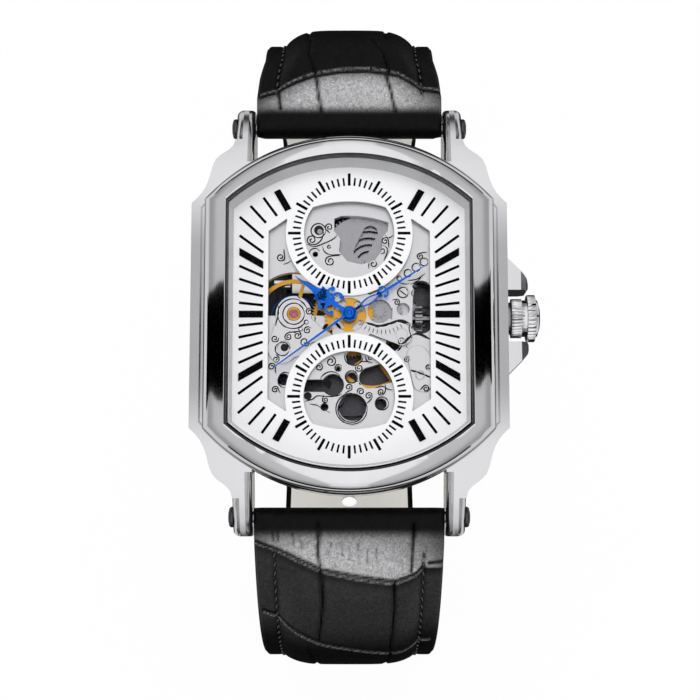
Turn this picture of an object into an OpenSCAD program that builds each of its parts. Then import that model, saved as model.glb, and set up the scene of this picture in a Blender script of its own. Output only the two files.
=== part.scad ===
// Automatic wristwatch with an open-worked dial, a barrel-shaped steel case and a leather strap.
// Millimetres. The dial faces +Z, twelve o'clock is +Y and the crown points along +X.
// The origin lies on the hands' axis, on the outer face of the case back.

/* [Case] */
// Width of the case across its straight flanks
case_w = 40; // [39.6:0.1:41]
// Length over the lug tips
case_l = 55.2; // [54.8:0.1:56]
// Height of the case middle
case_h = 7.2; // [7.2:0.1:8]
// Half length of the straight flanks
flank_l = 14.3; // [13.8:0.1:14.8]
// Height of the raised ledge that carries the bezel
ledge_h = 0.5; // [0.3:0.1:0.8]
// Space between two lugs
lug_gap = 24.2; // [23.8:0.1:24.4]
// Width of a lug
lug_w = 2.5; // [2.3:0.1:2.8]
// Rounding along the top edges of a lug
lug_edge = 0.9; // [0.6:0.1:1.1]
// Radius of the curve that drops the lugs
lug_curve_r = 16; // [15:0.5:18]
// Distance from a lug tip back to the strap bar
bar_in = 2.4; // [2.2:0.1:2.6]
// Height of the strap bars above the case back
bar_z = 3.6; // [3.4:0.1:3.8]
// Radius of a strap bar
bar_r = 0.75; // [0.7:0.05:0.8]
// Reach of the crown guards beyond the flank
guard_reach = 2.75; // [2:0.25:3]

/* [Bezel and glass] */
// Width of the case's flange beside the bezel
flange_w = 1.8; // [1.6:0.1:2.1]
// Half length of the bezel at twelve o'clock
bezel_hl = 22.7; // [22.4:0.1:22.9]
// Radius of the bezel's curved ends
bezel_r = 24.3; // [23.5:0.1:25]
// Height of the bezel
bezel_h = 3; // [2.6:0.1:3.4]
// Width of the bezel's rim at its sides
rim_side_w = 2.8; // [2.6:0.1:3]
// Width of the bezel's rim at its ends
rim_end_w = 2.75; // [2.6:0.05:3]
// Radius of the opening's curved ends
window_r = 23.1; // [22.5:0.1:23.5]
// Thickness of the front glass
glass_t = 1.5; // [1.2:0.1:1.6]
// Width of the dark glass gasket
gasket_w = 0.25; // [0.2:0.05:0.35]

/* [Dial and hands] */
// Thickness of the dial plate
dial_t = 0.4; // [0.3:0.05:0.45]
// Width of the sloped wall between the glass and the dial, at the sides
wall_side_w = 0.85; // [0.75:0.05:1.1]
// Width of the sloped wall between the glass and the dial, at the ends
wall_end_w = 1.05; // [0.95:0.05:1.3]
// Distance of the two small rings from the hands' axis
ring_y = 10.38; // [10.2:0.02:10.5]
// Outer radius of the two small rings
ring_r = 8.03; // [7.9:0.01:8.2]
// Radius of the openings inside the rings
eye_r = 5.71; // [5.5:0.01:5.9]
// Half width of the middle opening
gap_hw = 10.2; // [9.8:0.1:10.4]
// Half length of the middle opening
gap_hl = 12.2; // [11.8:0.1:12.4]
// Length of the hour hand
hour_l = 8.3; // [7.8:0.1:8.8]
// Length of the minute hand
minute_l = 11.45; // [10.9:0.05:12]
// Length of the second hand
second_l = 11.75; // [11.2:0.05:12.2]

/* [Movement] */
// Radius of the movement
move_r = 15.5; // [15.3:0.1:15.6]
// Thickness of the main plate
plate_t = 1.2; // [1:0.1:1.3]
// Distance of each wheel arbor from the hands' axis
train_d = 5.3; // [5.2:0.05:5.4]
// Radius of the balance rim
balance_r = 4.9; // [4.7:0.05:5]
// Radius of the barrel drum
drum_r = 6.2; // [5.9:0.1:6.3]
// Number of turns of the balance spring
spring_turns = 4.5; // [3.5:0.5:4.5]
// Radius of the rotor
rotor_r = 14.9; // [14.3:0.1:15]

/* [Crown] */
// Radius of the crown's outer knurled band
crown_r = 3.02; // [2.9:0.02:3.1]
// Height of the crown's axis above the case back
crown_z = 4.6; // [4.5:0.1:4.8]
// Radius of the winding stem
stem_r = 0.45; // [0.4:0.05:0.5]
// Number of flutes on a knurled band
flutes = 36; // [30:2:40]

/* [Back] */
// Thickness of the case back
back_t = 1.4; // [1.3:0.1:1.6]
// Radius of the glass in the case back
back_glass_r = 12.4; // [11.8:0.1:12.8]

/* [Strap] */
// Width of the strap at the buckle
strap_end_w = 20; // [19:0.5:21]
// Thickness that the padding adds on the outside
pad_t = 3.3; // [2.8:0.1:3.6]
// Thickness from the strap's middle line to its lining
lining_t = 1.45; // [1.3:0.05:1.5]
// Radius of the strap's rolled ends
root_r = 1.65; // [1.6:0.05:1.8]
// Depth from the case back down to what the strap stands on
stand_h = 49.5; // [46:0.5:52]
// Bend radius of the twelve o'clock half beside the lugs
bend_12 = 11.5; // [11:0.5:12.5]
// Bend radius of the six o'clock half beside the lugs
bend_6 = 15.5; // [15:0.5:16]
// Length of the twelve o'clock half's straight foot
foot_12 = 13; // [12.5:0.5:14]
// Length of the six o'clock half's straight foot
foot_6 = 21.5; // [20:0.5:22]
// Distance between two buckle holes
hole_pitch = 7; // [6:0.5:8]
// Width of a keeper along the strap
keeper_w = 5; // [4:0.5:5]

/* [Hidden] */
$fn = 72;

// Running fit of a turning part, gap between parts that pass, and gap between seated parts
fit = 0.05;
pass = 0.1;
seat = 0.02;
// Small overlap of tools that cut right through
cut = 0.5;

// Levels of the case
z_case = back_t;
z_bezel = back_t + case_h;
z_flange = z_bezel - ledge_h;
z_rim = z_bezel + bezel_h;
// Levels of the dial side
dial_drop = 0.4;
z_dial_top = z_bezel - dial_drop;
z_dial = z_dial_top - dial_t;
z_plate_top = z_dial - 0.8;
z_plate = z_plate_top - plate_t;
z_ring_top = z_dial_top + 2;
hand_t = 0.13;
z_hour = z_dial_top + 0.42;
z_minute = z_hour + 0.36;
z_second = z_minute + 0.34;
// Levels of the wheels, which lie one behind the other at the back of the main plate
wheel_t = 0.15;
level = 0.4;
z_escape = z_plate - level;
z_drum_top = z_plate - 0.1;
drum_h = 1.05;
z_drum = z_drum_top - drum_h;
z_pallet = z_escape - 0.45;
z_balance = z_drum - 0.05;
balance_t = 0.25;
z_centre = z_balance - 0.25;
z_third = z_centre - level;
z_fourth = z_third - level;
z_spring = z_third - 0.1;
spring_t = 0.25;
z_bridge_top = z_fourth - 0.3;
bridge_t = 0.65;
z_bridge = z_bridge_top - bridge_t;
cock_t = 0.5;
z_ratchet = z_bridge - 0.3;
ratchet_t = 0.2;
z_rotor = back_t + 0.25;
rotor_t = 0.4;

// Openings that lie one inside the other
bezel_hw = case_w / 2 - flange_w;
window_hw = bezel_hw - rim_side_w;
window_hl = bezel_hl - rim_end_w;
dial_hw = window_hw - wall_side_w;
dial_hl = window_hl - wall_end_w;

// Lugs
lug_in = lug_gap / 2;
lug_out = lug_in + lug_w;
tip_y = case_l / 2;
bar_y = tip_y - bar_in;
lug_drop_y = 17;

// Places of the arbors around the hands' axis
third_at = train_d * [0.547, -0.8371];
escape_at = train_d * [-0.679, -0.7341];
balance_at = [-7, 0.16];
barrel_at = [2.6, 7.15];
crown_wheel_at = [6.6, 0];
minute_wheel_at = [3.8, 0.44];
pallet_along = 2.45;
lever_dir = (balance_at - escape_at) / norm(balance_at - escape_at);
pallet_at = escape_at + pallet_along * lever_dir;

// Teeth of the going train
third_pinion_n = 10;
centre_n = 80;
third_n = 75;
fourth_pinion_n = 10;
fourth_n = 72;
escape_pinion_n = 8;
centre_pinion_n = 12;
barrel_n = 78;
m_centre = 2 * train_d / (centre_n + third_pinion_n);
m_third = 2 * train_d / (third_n + fourth_pinion_n);
m_fourth = 2 * train_d / (fourth_n + escape_pinion_n);
m_barrel = 2 * norm(barrel_at) / (barrel_n + centre_pinion_n);
// Teeth of the motion work and of the winding gear
cannon_n = 12;
minute_n = 36;
minute_pinion_n = 10;
hour_n = 40;
m_minute = 2 * norm(minute_wheel_at) / (cannon_n + minute_n);
m_hour = 2 * norm(minute_wheel_at) / (minute_pinion_n + hour_n);
crown_wheel_n = 32;
ratchet_n = 50;
m_ratchet = 2 * norm(barrel_at - crown_wheel_at) / (crown_wheel_n + ratchet_n);
contrate_r = 2.2;
contrate_n = 24;
winding_n = 16;
winding_r = 1.45;

// Hand positions, measured from twelve o'clock as the photograph shows them
hour_deg = 304.8;
minute_deg = 57.6;
second_deg = 233.8;

// Points of an arc about c, from angle a to angle b in n steps
function arc(c, r, a, b, n) = [for (i = [0:n]) c + r * [cos(a + (b - a) * i / n), sin(a + (b - a) * i / n)]];
// Points of a cubic curve through four controls, without its last point
function curve(p, n) = [for (i = [0:n - 1]) let (t = i / n, u = 1 - t)
    u * u * u * p[0] + 3 * u * u * t * p[1] + 3 * u * t * t * p[2] + t * t * t * p[3]];
function flip_x(l) = [for (i = [len(l) - 1:-1:0]) [-l[i][0], l[i][1]]];
function flip_y(l) = [for (i = [len(l) - 1:-1:0]) [l[i][0], -l[i][1]]];
function heading(v) = atan2(v[1], v[0]);

// A solid with straight flanks and two curved ends. Each rim profile is a list of [inset, z].
module cushion(hw, hl, r, side, end) {
    flank = [for (p = side) [hw - p[0], p[1]]];
    round = [for (p = end) [r - p[0], p[1]]];
    last = len(end) - 1;
    intersection() {
        rotate([90, 0, 0])
            linear_extrude(height = 2 * hl + 2, center = true)
                polygon(concat(flank, flip_x(flank)));
        translate([0, r - hl, 0])
            rotate_extrude($fn = 144)
                polygon(concat([[0, end[0][1]]], round, [[0, end[last][1]]]));
        translate([0, hl - r, 0])
            rotate_extrude($fn = 144)
                polygon(concat([[0, end[0][1]]], round, [[0, end[last][1]]]));
    }
}

// A cushion with plain upright walls
module cushion_plate(hw, hl, r, z0, z1) {
    cushion(hw, hl, r, [[0, z0], [0, z1]], [[0, z0], [0, z1]]);
}

module at_lugs() {
    for (s = [-1, 1])
        scale([1, s, 1]) children();
}

module disc(r, z0, z1, c = [0, 0]) {
    translate([c[0], c[1], z0]) cylinder(r = r, h = z1 - z0);
}

module along_x(r, x0, x1, y, z) {
    translate([x0, y, z]) rotate([0, 90, 0]) cylinder(r = r, h = x1 - x0);
}

// A slot with round ends from a to b
module slot(a, b, r, z0, z1) {
    v = b - a;
    w = r - 0.02;
    disc(r, z0, z1, a);
    disc(r, z0, z1, b);
    translate([a[0], a[1], z0])
        rotate([0, 0, heading(v)])
            translate([0, -w, 0]) cube([norm(v), 2 * w, z1 - z0]);
}

// Spur teeth: n teeth of module m, with tooth 0 at the angle phase
function spur(n, m, phase) = let (p = 360 / n, rp = n * m / 2)
    [for (i = [0:n - 1]) for (k = [[-0.3, -1.2], [-0.12, 0.85], [0.12, 0.85], [0.3, -1.2]])
        (rp + k[1] * m) * [cos(phase + (i + k[0]) * p), sin(phase + (i + k[0]) * p)]];

module pinion(n, m, phase, z0, z1) {
    translate([0, 0, z0]) linear_extrude(height = z1 - z0) polygon(spur(n, m, phase));
}

// A wheel with windows that leave a rim, a hub and arms
module spoked_wheel(n, m, phase, z, t, arms, hub) {
    rim_in = n * m / 2 - 1.2 * m - 0.38;
    half = 180 / arms;
    a_in = half - asin(0.17 / hub);
    a_out = half - asin(0.17 / rim_in);
    difference() {
        pinion(n, m, phase, z, z + t);
        for (i = [0:arms - 1])
            rotate([0, 0, phase + 360 * (i + 0.5) / arms])
                translate([0, 0, z - cut])
                    linear_extrude(height = t + 2 * cut)
                        polygon(concat(arc([0, 0], rim_in, -a_out, a_out, 8), arc([0, 0], hub, a_in, -a_in, 5)));
    }
}

// Outline of the case from the middle of a flank to the end wall between the lugs
flank_top = [case_w / 2, flank_l];
waist = [(case_w / 2 + lug_out) / 2 + 0.1, flank_l + 4.9];
lug_foot = [lug_out, flank_l + 8.6];
tip_r = 0.8;
end_wall_in = 0.15;
quarter = concat(
    curve([flank_top, flank_top + [-1.7, 1.5], waist + [0.6, -2.6], waist], 6),
    curve([waist, waist + [-0.5, 2.1], lug_foot + [0.1, -1.9], lug_foot], 6),
    [lug_foot],
    arc([lug_out - tip_r, tip_y - tip_r], tip_r, 0, 90, 4),
    arc([lug_in + tip_r / 2, tip_y - tip_r / 2], tip_r / 2, 90, 180, 3),
    [[lug_in, bezel_hl - 7]]);

module case_plan() {
    polygon(concat(quarter, flip_x(quarter), [for (p = quarter) -p], flip_y(quarter)));
}

// Side view of the case: flat over the dial, then dropping to the lug tips
lug_top_c = [lug_drop_y, z_flange - lug_curve_r];
lug_angle = asin((tip_y - lug_drop_y) / lug_curve_r);
lug_under = 0.7;
side_half = concat(
    arc(lug_top_c, lug_curve_r, 90, 90 - lug_angle, 9),
    arc([tip_y - 1.3, lug_under + 1.3], 1.3, 0, -90, 4),
    [[lug_drop_y + 5.5, lug_under], [lug_drop_y + 3, z_case]]);

module case_side() {
    rotate([90, 0, 90])
        linear_extrude(height = case_w + 2, center = true)
            polygon(concat(side_half, flip_x(side_half)));
}

// Cutter that rounds one top edge of a lug along the dropping curve
module lug_edge_cutter(x, side, sweep) {
    e = lug_edge;
    r = lug_curve_r - 0.03;
    corner = concat([for (a = [0:18:90])
        [r - e + e * sin(a), side * (-e + e * cos(a))]],
        [[r + 1, -side * e], [r + 1, side], [r - e, side]]);
    translate([x, lug_top_c[0], lug_top_c[1]])
        rotate([0, 90, 0])
            rotate([0, 0, 100])
                rotate_extrude(angle = sweep, $fn = 144) polygon(corner);
}

// One crown guard, seen from above and from the side
guard_y = [3.3, 7.6];
module crown_guard() {
    x0 = case_w / 2 - 0.6;
    x1 = case_w / 2 + guard_reach;
    half_h = 2.6;
    intersection() {
        translate([0, 0, crown_z - half_h])
            linear_extrude(height = 2 * half_h)
                polygon([[x0, guard_y[0]], [x1 - 0.2, guard_y[0]], [x1, guard_y[0] + 0.3],
                    [x1, guard_y[0] + 1], [x1 - 0.15, guard_y[0] + 1.5], [x1 - 0.55, guard_y[0] + 2],
                    [x0 + 0.6, guard_y[1] - 0.1], [x0, guard_y[1]]]);
        translate([0, 10, 0])
            rotate([90, 0, 0])
                linear_extrude(height = 20)
                    polygon([for (p = [[x0, -half_h], [x1 - 1, -half_h], [x1 - 0.3, -half_h + 0.5],
                        [x1 + 0.01, -half_h + 1.4], [x1 + 0.01, half_h - 1.4], [x1 - 0.3, half_h - 0.5],
                        [x1 - 1, half_h], [x0, half_h]]) p + [0, crown_z]]);
    }
}

// Places of the case back screws
back_screw_at = [bezel_hw - 5, bezel_hl - 7.7];
module at_back_screws() {
    for (sx = [-1, 1])
        for (sy = [-1, 1])
            translate([sx * back_screw_at[0], sy * back_screw_at[1], 0]) children();
}
back_screw_r = 0.5;
back_head_r = 1;
back_head_t = 0.6;

holder_t = 0.7;
case_bore_r = move_r + seat + holder_t + 2 * seat;
back_gasket_r = [case_bore_r + 0.5, case_bore_r + 1];
back_gasket_t = 0.5;
tube_r = 1.3;

module case_middle() {
    color("silver")
        difference() {
            union() {
                intersection() {
                    linear_extrude(height = z_bezel) case_plan();
                    case_side();
                }
                cushion(bezel_hw + 0.6, bezel_hl - end_wall_in, bezel_r,
                    [[0, z_case], [0, z_bezel - 0.25], [0.25, z_bezel]],
                    [[0, z_case], [0, z_bezel - 0.25], [0.25, z_bezel]]);
                crown_guard();
                mirror([0, 1, 0]) crown_guard();
            }
            disc(case_bore_r, z_case - cut, z_dial);
            cushion_plate(window_hw, window_hl, window_r, z_dial, z_bezel + cut);
            difference() {
                disc(back_gasket_r[1] + seat, z_case - cut, z_case + back_gasket_t);
                disc(back_gasket_r[0] - seat, z_case - cut, z_case + back_gasket_t + cut);
            }
            at_back_screws() disc(back_screw_r + fit, z_case - cut, z_case + 2.6);
            along_x(tube_r + seat, case_bore_r - 1, case_w / 2 + 1, 0, crown_z);
            at_lugs()
                along_x(bar_r + seat, -case_w, case_w, bar_y, bar_z);
            at_lugs()
                for (s = [-1, 1])
                    scale([s, 1, 1]) {
                        lug_edge_cutter(lug_out, 1, 58);
                        lug_edge_cutter(lug_in, -1, 70);
                    }
        }
}

// Rim of the bezel: a rolled edge, then a long slope up to the glass
bezel_rim = concat(
    [[0.12, z_bezel], [0, z_bezel + 0.15], [0, z_bezel + 0.7]],
    [for (a = [7.5:7.5:82.5]) [(rim_side_w - 0.4) * (1 - cos(a)), z_bezel + 0.7 + (bezel_h - 0.78) * sin(a)]],
    [[rim_side_w - 0.35, z_rim - 0.04], [rim_side_w - 0.1, z_rim], [rim_side_w + 1, z_rim]]);

module bezel() {
    color("gainsboro")
        difference() {
            cushion(bezel_hw, bezel_hl, bezel_r, bezel_rim, bezel_rim);
            cushion_plate(window_hw, window_hl, window_r, z_bezel - cut, z_rim + cut);
        }
}

module crystal_gasket() {
    color("black")
        difference() {
            cushion_plate(window_hw - seat, window_hl - seat, window_r, z_ring_top, z_rim - 0.05);
            cushion_plate(window_hw - gasket_w, window_hl - gasket_w, window_r - gasket_w,
                z_ring_top - cut, z_rim + cut);
        }
}

module crystal() {
    w = gasket_w + seat;
    top = z_ring_top + glass_t;
    rim = [[0, z_ring_top], [0, top - 0.25], [0.25, top]];
    color([0.85, 0.92, 0.95, 0.3])
        cushion(window_hw - w, window_hl - w, window_r - w, rim, rim);
}

module inner_ring() {
    side = window_hw - 0.45 - dial_hw;
    end = window_hl - 0.35 - dial_hl;
    color("darkgray")
        difference() {
            cushion_plate(window_hw - seat, window_hl - seat, window_r, z_dial_top, z_ring_top);
            cushion(window_hw - 0.4, window_hl - 0.35, window_r,
                [[side, z_dial_top - cut], [side, z_dial_top], [0, z_ring_top - 0.1], [0, z_ring_top + cut]],
                [[end, z_dial_top - cut], [end, z_dial_top], [0, z_ring_top - 0.1], [0, z_ring_top + cut]]);
        }
}

module case_back() {
    rim = [[0.5, 0], [0, 0.5], [0, back_t]];
    color("silver")
        difference() {
            cushion(bezel_hw - 0.2, bezel_hl - 1.2, bezel_r - 1, rim, rim);
            disc(back_glass_r - 0.5, -cut, back_t + cut);
            disc(back_glass_r, back_t - 1, back_t + cut);
            at_back_screws() {
                disc(back_screw_r + fit, -cut, back_t + cut);
                disc(back_head_r + fit, -cut, back_head_t);
            }
        }
}

module back_crystal() {
    color([0.85, 0.92, 0.95, 0.3])
        union() {
            disc(back_glass_r - 0.5 - seat, 0, back_t - 0.9);
            disc(back_glass_r - seat, back_t - 1, back_t - 0.15);
        }
}

module case_back_gasket() {
    color("black")
        difference() {
            disc(back_gasket_r[1], z_case, z_case + back_gasket_t - seat);
            disc(back_gasket_r[0], z_case - cut, z_case + cut);
        }
}

module case_back_screws() {
    color("gray")
        at_back_screws()
            difference() {
                union() {
                    disc(back_head_r, 0.1, back_head_t);
                    disc(back_screw_r, back_head_t, z_case + 2.4);
                }
                translate([-2, -0.12, 0]) cube([4, 0.24, 0.35]);
            }
}

// The crown, its tube and its stem, turned about the X axis from profiles of [x, radius]
module turned_x(profile) {
    translate([0, 0, crown_z])
        rotate([0, 90, 0])
            rotate_extrude()
                polygon([for (p = profile) [p[1], p[0]]]);
}
flank_x = case_w / 2;
tube_bore_r = stem_r + 0.1;
tube_neck_r = 1.45;
tube_in_x = case_bore_r + 1.1;

module crown_tube() {
    color("silver")
        turned_x([[tube_in_x, tube_bore_r], [tube_in_x, tube_r], [flank_x, tube_r],
            [flank_x, 2.05], [flank_x + 0.5, 2.05], [flank_x + 0.5, tube_neck_r],
            [flank_x + 2.1, tube_neck_r], [flank_x + 2.1, tube_bore_r]]);
}

crown_x = flank_x + 0.58;
crown_skirt_r = 1.8;
module crown_gasket() {
    color("black")
        turned_x([[crown_x + 0.8, tube_neck_r + fit], [crown_x + 0.8, crown_skirt_r - fit],
            [crown_x + 1.15, crown_skirt_r - fit], [crown_x + 1.15, tube_neck_r + fit]]);
}

// One knurled band: pointed flutes round a drum
module band(x0, x1, r) {
    translate([x0, 0, crown_z])
        rotate([0, 90, 0])
            linear_extrude(height = x1 - x0)
                polygon([for (i = [0:2 * flutes - 1])
                    (r - 0.2 * (i % 2)) * [cos(180 * i / flutes), sin(180 * i / flutes)]]);
}

crown_in_r = crown_r - 0.56;
module crown() {
    color("silver")
        difference() {
            union() {
                turned_x([[crown_x, 0], [crown_x, crown_in_r - 0.3], [crown_x + 1.3, crown_in_r - 0.3],
                    [crown_x + 1.3, crown_in_r - 0.12], [crown_x + 2.9, crown_in_r - 0.12],
                    [crown_x + 3.1, crown_r - 0.5],
                    [crown_x + 3.4, crown_r - 0.75], [crown_x + 3.65, 1.4], [crown_x + 3.72, 0]]);
                band(crown_x + 0.03, crown_x + 1.35, crown_in_r + 0.05);
                band(crown_x + 2.02, crown_x + 3.05, crown_r);
            }
            turned_x([[crown_x - cut, 0], [crown_x - cut, crown_skirt_r], [crown_x + 1.9, crown_skirt_r],
                [crown_x + 1.9, stem_r], [crown_x + 2.6, stem_r], [crown_x + 2.6, 0]]);
        }
}

stem_x = 7.9;
module winding_stem() {
    color("gray") turned_x([[stem_x, 0], [stem_x, stem_r], [crown_x + 2.6, stem_r], [crown_x + 2.6, 0]]);
}

pinion_x = crown_wheel_at[0] + contrate_r;
module winding_pinion() {
    m = 2 * winding_r / winding_n;
    color("gray")
        difference() {
            translate([pinion_x - 0.4, 0, crown_z])
                rotate([0, 90, 0])
                    linear_extrude(height = 0.9) polygon(spur(winding_n, m, 0));
            along_x(stem_r, pinion_x - 1, pinion_x + 1, 0, crown_z);
        }
}

module movement_ring() {
    color("whitesmoke")
        difference() {
            disc(move_r + seat + holder_t, z_bridge, z_dial);
            disc(move_r + seat, z_bridge - cut, z_dial + cut);
            along_x(stem_r + 0.5, move_r - 1, case_w / 2, 0, crown_z);
        }
}

// The dial: a shaped plate, two small rings and three openings between them
eye_flat_y = 14.5;
module eye(s) {
    intersection() {
        disc(eye_r, z_dial - cut, z_dial_top + cut, [0, s * ring_y]);
        disc(eye_r + 9, z_dial - cut, z_dial_top + cut, [0, s * (eye_flat_y - eye_r - 9)]);
    }
}

module dial() {
    corner = 1.5;
    color("white")
        difference() {
            cushion_plate(window_hw - 0.2, window_hl - 0.25, window_r, z_dial, z_dial_top);
            difference() {
                translate([0, 0, z_dial - cut])
                    linear_extrude(height = dial_t + 2 * cut)
                        polygon([[gap_hw, -gap_hl + corner], [gap_hw, gap_hl - corner],
                            [gap_hw - 2.2, gap_hl],
                            [-gap_hw + 2.2, gap_hl], [-gap_hw, gap_hl - corner], [-gap_hw, -gap_hl + corner],
                            [-gap_hw + 2.2, -gap_hl], [gap_hw - 2.2, -gap_hl]]);
                disc(ring_r, z_dial - 1, z_dial_top + 1, [0, ring_y]);
                disc(ring_r, z_dial - 1, z_dial_top + 1, [0, -ring_y]);
            }
            eye(1);
            eye(-1);
        }
}

// Black batons at the hours other than twelve and six, cut by two contours of the dial's form
baton_w = 0.86;
baton_t = 0.1;
baton_in_hw = dial_hw - 3.72;
baton_out_hw = dial_hw - 0.68;
baton_in_r = 18;
baton_out_r = 21.4;
module hour_batons() {
    color("black")
        intersection() {
            union() {
                for (h = [1, 2, 3, 4, 5, 7, 8, 9, 10, 11])
                    rotate([0, 0, 90 - 30 * h])
                        translate([8, -baton_w / 2, z_dial_top]) cube([12, baton_w, baton_t]);
            }
            difference() {
                cushion_plate(baton_out_hw, dial_hl - 0.95, baton_out_r, z_dial_top, z_bezel);
                cushion_plate(baton_in_hw, dial_hl - 3.8, baton_in_r, z_dial_top - cut, z_bezel + cut);
            }
        }
}

// A curved band of width w about c, from angle a to angle b
module arc_band(c, r, w, a, b) {
    n = ceil(abs(b - a) / 20);
    outer = arc(c, r + w / 2, a, b, n);
    inner = arc(c, r - w / 2, b, a, n);
    polygon(concat(outer, inner));
}

module dot(c, r) {
    translate(c) circle(r = r, $fn = 24);
}

function clock(deg) = [0, 0, 90 - deg];

// The hour hand: an openwork of scrolls that ends in a leaf and a point
module hour_hand_plan() {
    difference() {
        union() {
            circle(r = 0.98, $fn = 48);
            polygon([[0.6, -0.35], [1.9, -0.2], [1.9, 0.2], [0.6, 0.35]]);
            for (s = [-1, 1])
                scale([1, s]) {
                    arc_band([2.35, 0.78], 0.62, 0.3, -130, 130);
                    dot([1.9, 1.18], 0.27);
                    arc_band([3.2, 0.9], 0.66, 0.27, -155, 60);
                    dot([3.5, 1.42], 0.3);
                    arc_band([3.95, 0.1], 0.72, 0.28, 30, 170);
                    polygon([[3.7, 0], [3.9, 0.6], [4.5, 0.98], [4.75, 1.0], [4.72, 0.62], [5.1, 0.42],
                        [5.6, 0.3], [hour_l, 0.03], [hour_l, 0], [4.4, 0]]);
                }
            polygon([[1.8, -0.16], [4.6, -0.14], [4.6, 0.14], [1.8, 0.16]]);
        }
        circle(r = 0.6, $fn = 48);
    }
}

module hour_hand() {
    color("royalblue")
        rotate(clock(hour_deg))
            translate([0, 0, z_hour]) linear_extrude(height = hand_t) hour_hand_plan();
}

// The minute hand: a long open leaf, a small scroll and a fine point
module minute_hand_plan() {
    leaf = concat(arc([3, -2.72], 3.2, 118, 62, 8));
    leaf_in = concat(arc([3, -2.92], 3.2, 62, 118, 8));
    difference() {
        union() {
            circle(r = 0.74, $fn = 48);
            polygon([[0.5, -0.2], [1.7, -0.16], [1.7, 0.16], [0.5, 0.2]]);
            for (s = [-1, 1])
                scale([1, s]) {
                    polygon(concat(leaf, leaf_in));
                    arc_band([5.15, 0.32], 0.36, 0.2, -90, 120);
                    dot([4.95, 0.62], 0.2);
                }
            polygon([[4.2, -0.24], [4.6, -0.5], [4.85, -0.12], [5.5, -0.16], [5.9, -0.19], [minute_l, -0.04],
                [minute_l, 0.04], [5.9, 0.19], [5.5, 0.16], [4.85, 0.12], [4.6, 0.5], [4.2, 0.24]]);
        }
        circle(r = 0.34, $fn = 48);
    }
}

module minute_hand() {
    color("royalblue")
        rotate(clock(minute_deg))
            translate([0, 0, z_minute]) linear_extrude(height = hand_t) minute_hand_plan();
}

module second_hand() {
    color("dodgerblue")
        rotate(clock(second_deg))
            translate([0, 0, z_second])
                linear_extrude(height = hand_t) {
                    circle(r = 0.42, $fn = 48);
                    polygon([[0, -0.17], [second_l, -0.07], [second_l, 0.07], [0, 0.17]]);
                }
}

module hand_cap() {
    color("royalblue")
        translate([0, 0, z_second + hand_t])
            rotate_extrude($fn = 48)
                polygon([[0, 0], [0.72, 0], [0.72, 0.12], [0.6, 0.22], [0.35, 0.24], [0.3, 0.16], [0, 0.16]]);
}

// Motion work, between the main plate and the dial
z_cannon = z_plate_top + 0.05;
z_hour_wheel = z_plate_top + 0.34;
second_arbor_r = 0.16;
cannon_out_r = 0.36;
module cannon_pinion() {
    phase = heading(minute_wheel_at);
    color("gold")
        difference() {
            union() {
                pinion(cannon_n, m_minute, phase, z_cannon, z_cannon + 0.2);
                disc(cannon_out_r, z_cannon, z_minute);
                disc(0.33, z_minute, z_minute + hand_t + 0.05);
            }
            disc(second_arbor_r + fit, z_plate, z_second);
        }
}

module minute_wheel() {
    phase = heading(minute_wheel_at);
    color("gold")
        translate([minute_wheel_at[0], minute_wheel_at[1], 0]) {
            pinion(minute_n, m_minute, phase + 180 + 180 / minute_n, z_cannon, z_cannon + 0.15);
            pinion(minute_pinion_n, m_hour, phase + 180, z_cannon + 0.15, z_hour_wheel + 0.17);
            disc(0.2, z_plate_top - 0.5, z_cannon);
        }
}

hour_pipe_r = 0.58;
module hour_wheel() {
    phase = heading(minute_wheel_at);
    color("gold")
        difference() {
            union() {
                pinion(hour_n, m_hour, phase + 180 / hour_n, z_hour_wheel, z_hour_wheel + 0.14);
                disc(hour_pipe_r, z_hour_wheel, z_hour + hand_t);
            }
            disc(cannon_out_r + fit, z_hour_wheel - cut, z_hour + 1);
            for (a = [40:90:320])
                slot(1.75 * [cos(a - 14), sin(a - 14)], 1.75 * [cos(a + 14), sin(a + 14)], 0.4,
                    z_hour_wheel - cut, z_hour_wheel + cut);
        }
}

z_cover = z_dial - 0.26;
cover_t = 0.22;
// Feet of the two covers on the main plate
motion_feet = [[6.8, 2.9], [6.6, -2.5]];
module motion_cover() {
    color("lightgray")
        difference() {
            union() {
                disc(3.6, z_cover, z_cover + cover_t);
                slot([0, 0], motion_feet[0], 1.35, z_cover, z_cover + cover_t);
                slot([0, 0], motion_feet[1], 1.35, z_cover, z_cover + cover_t);
                slot(motion_feet[0], motion_feet[1], 1.3, z_cover, z_cover + cover_t);
                for (p = motion_feet)
                    disc(0.7, z_plate_top, z_cover + 0.1, p);
            }
            disc(2.15, z_cover - cut, z_dial);
            disc(1.5, z_cover - cut, z_dial, minute_wheel_at);
            disc(0.8, z_cover + 0.1, z_dial, motion_feet[0]);
            disc(0.75, z_cover + 0.1, z_dial, motion_feet[1]);
            disc(0.8, z_cover - cut, z_dial, [6.8, 0.7]);
            slot([-3.2, 2.4], [-3.2, -2.4], 1.1, z_cover - cut, z_dial);
        }
}

module keyless_cover() {
    color("gainsboro")
        difference() {
            union() {
                slot([8.6, -5.2], [10.3, -7.6], 1.4, z_plate_top, z_plate_top + 0.35);
                slot([8.6, -5.2], [9.2, -8.4], 1.3, z_plate_top, z_plate_top + 0.35);
            }
            disc(0.55, z_plate_top + 0.2, z_dial, [8.9, -7.6]);
        }
}

// Openings in the main plate: [centre, radius] for round ones
plate_holes = [[[0.58, -5.3], 1], [[0.3, -7.87], 0.7], [[-2.06, -8.8], 1.4], [[0.4, -11.6], 1.75],
    [[-1.36, -6.7], 0.3], [[4, -11.2], 0.7], [[-3.1, -11.6], 0.5], [[-4.3, 7.9], 0.35],
    [[-2.2, -1.9], 1.2], [[-8.22, -8.12], 0.75], [[5.5, -3.6], 0.9]];
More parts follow.
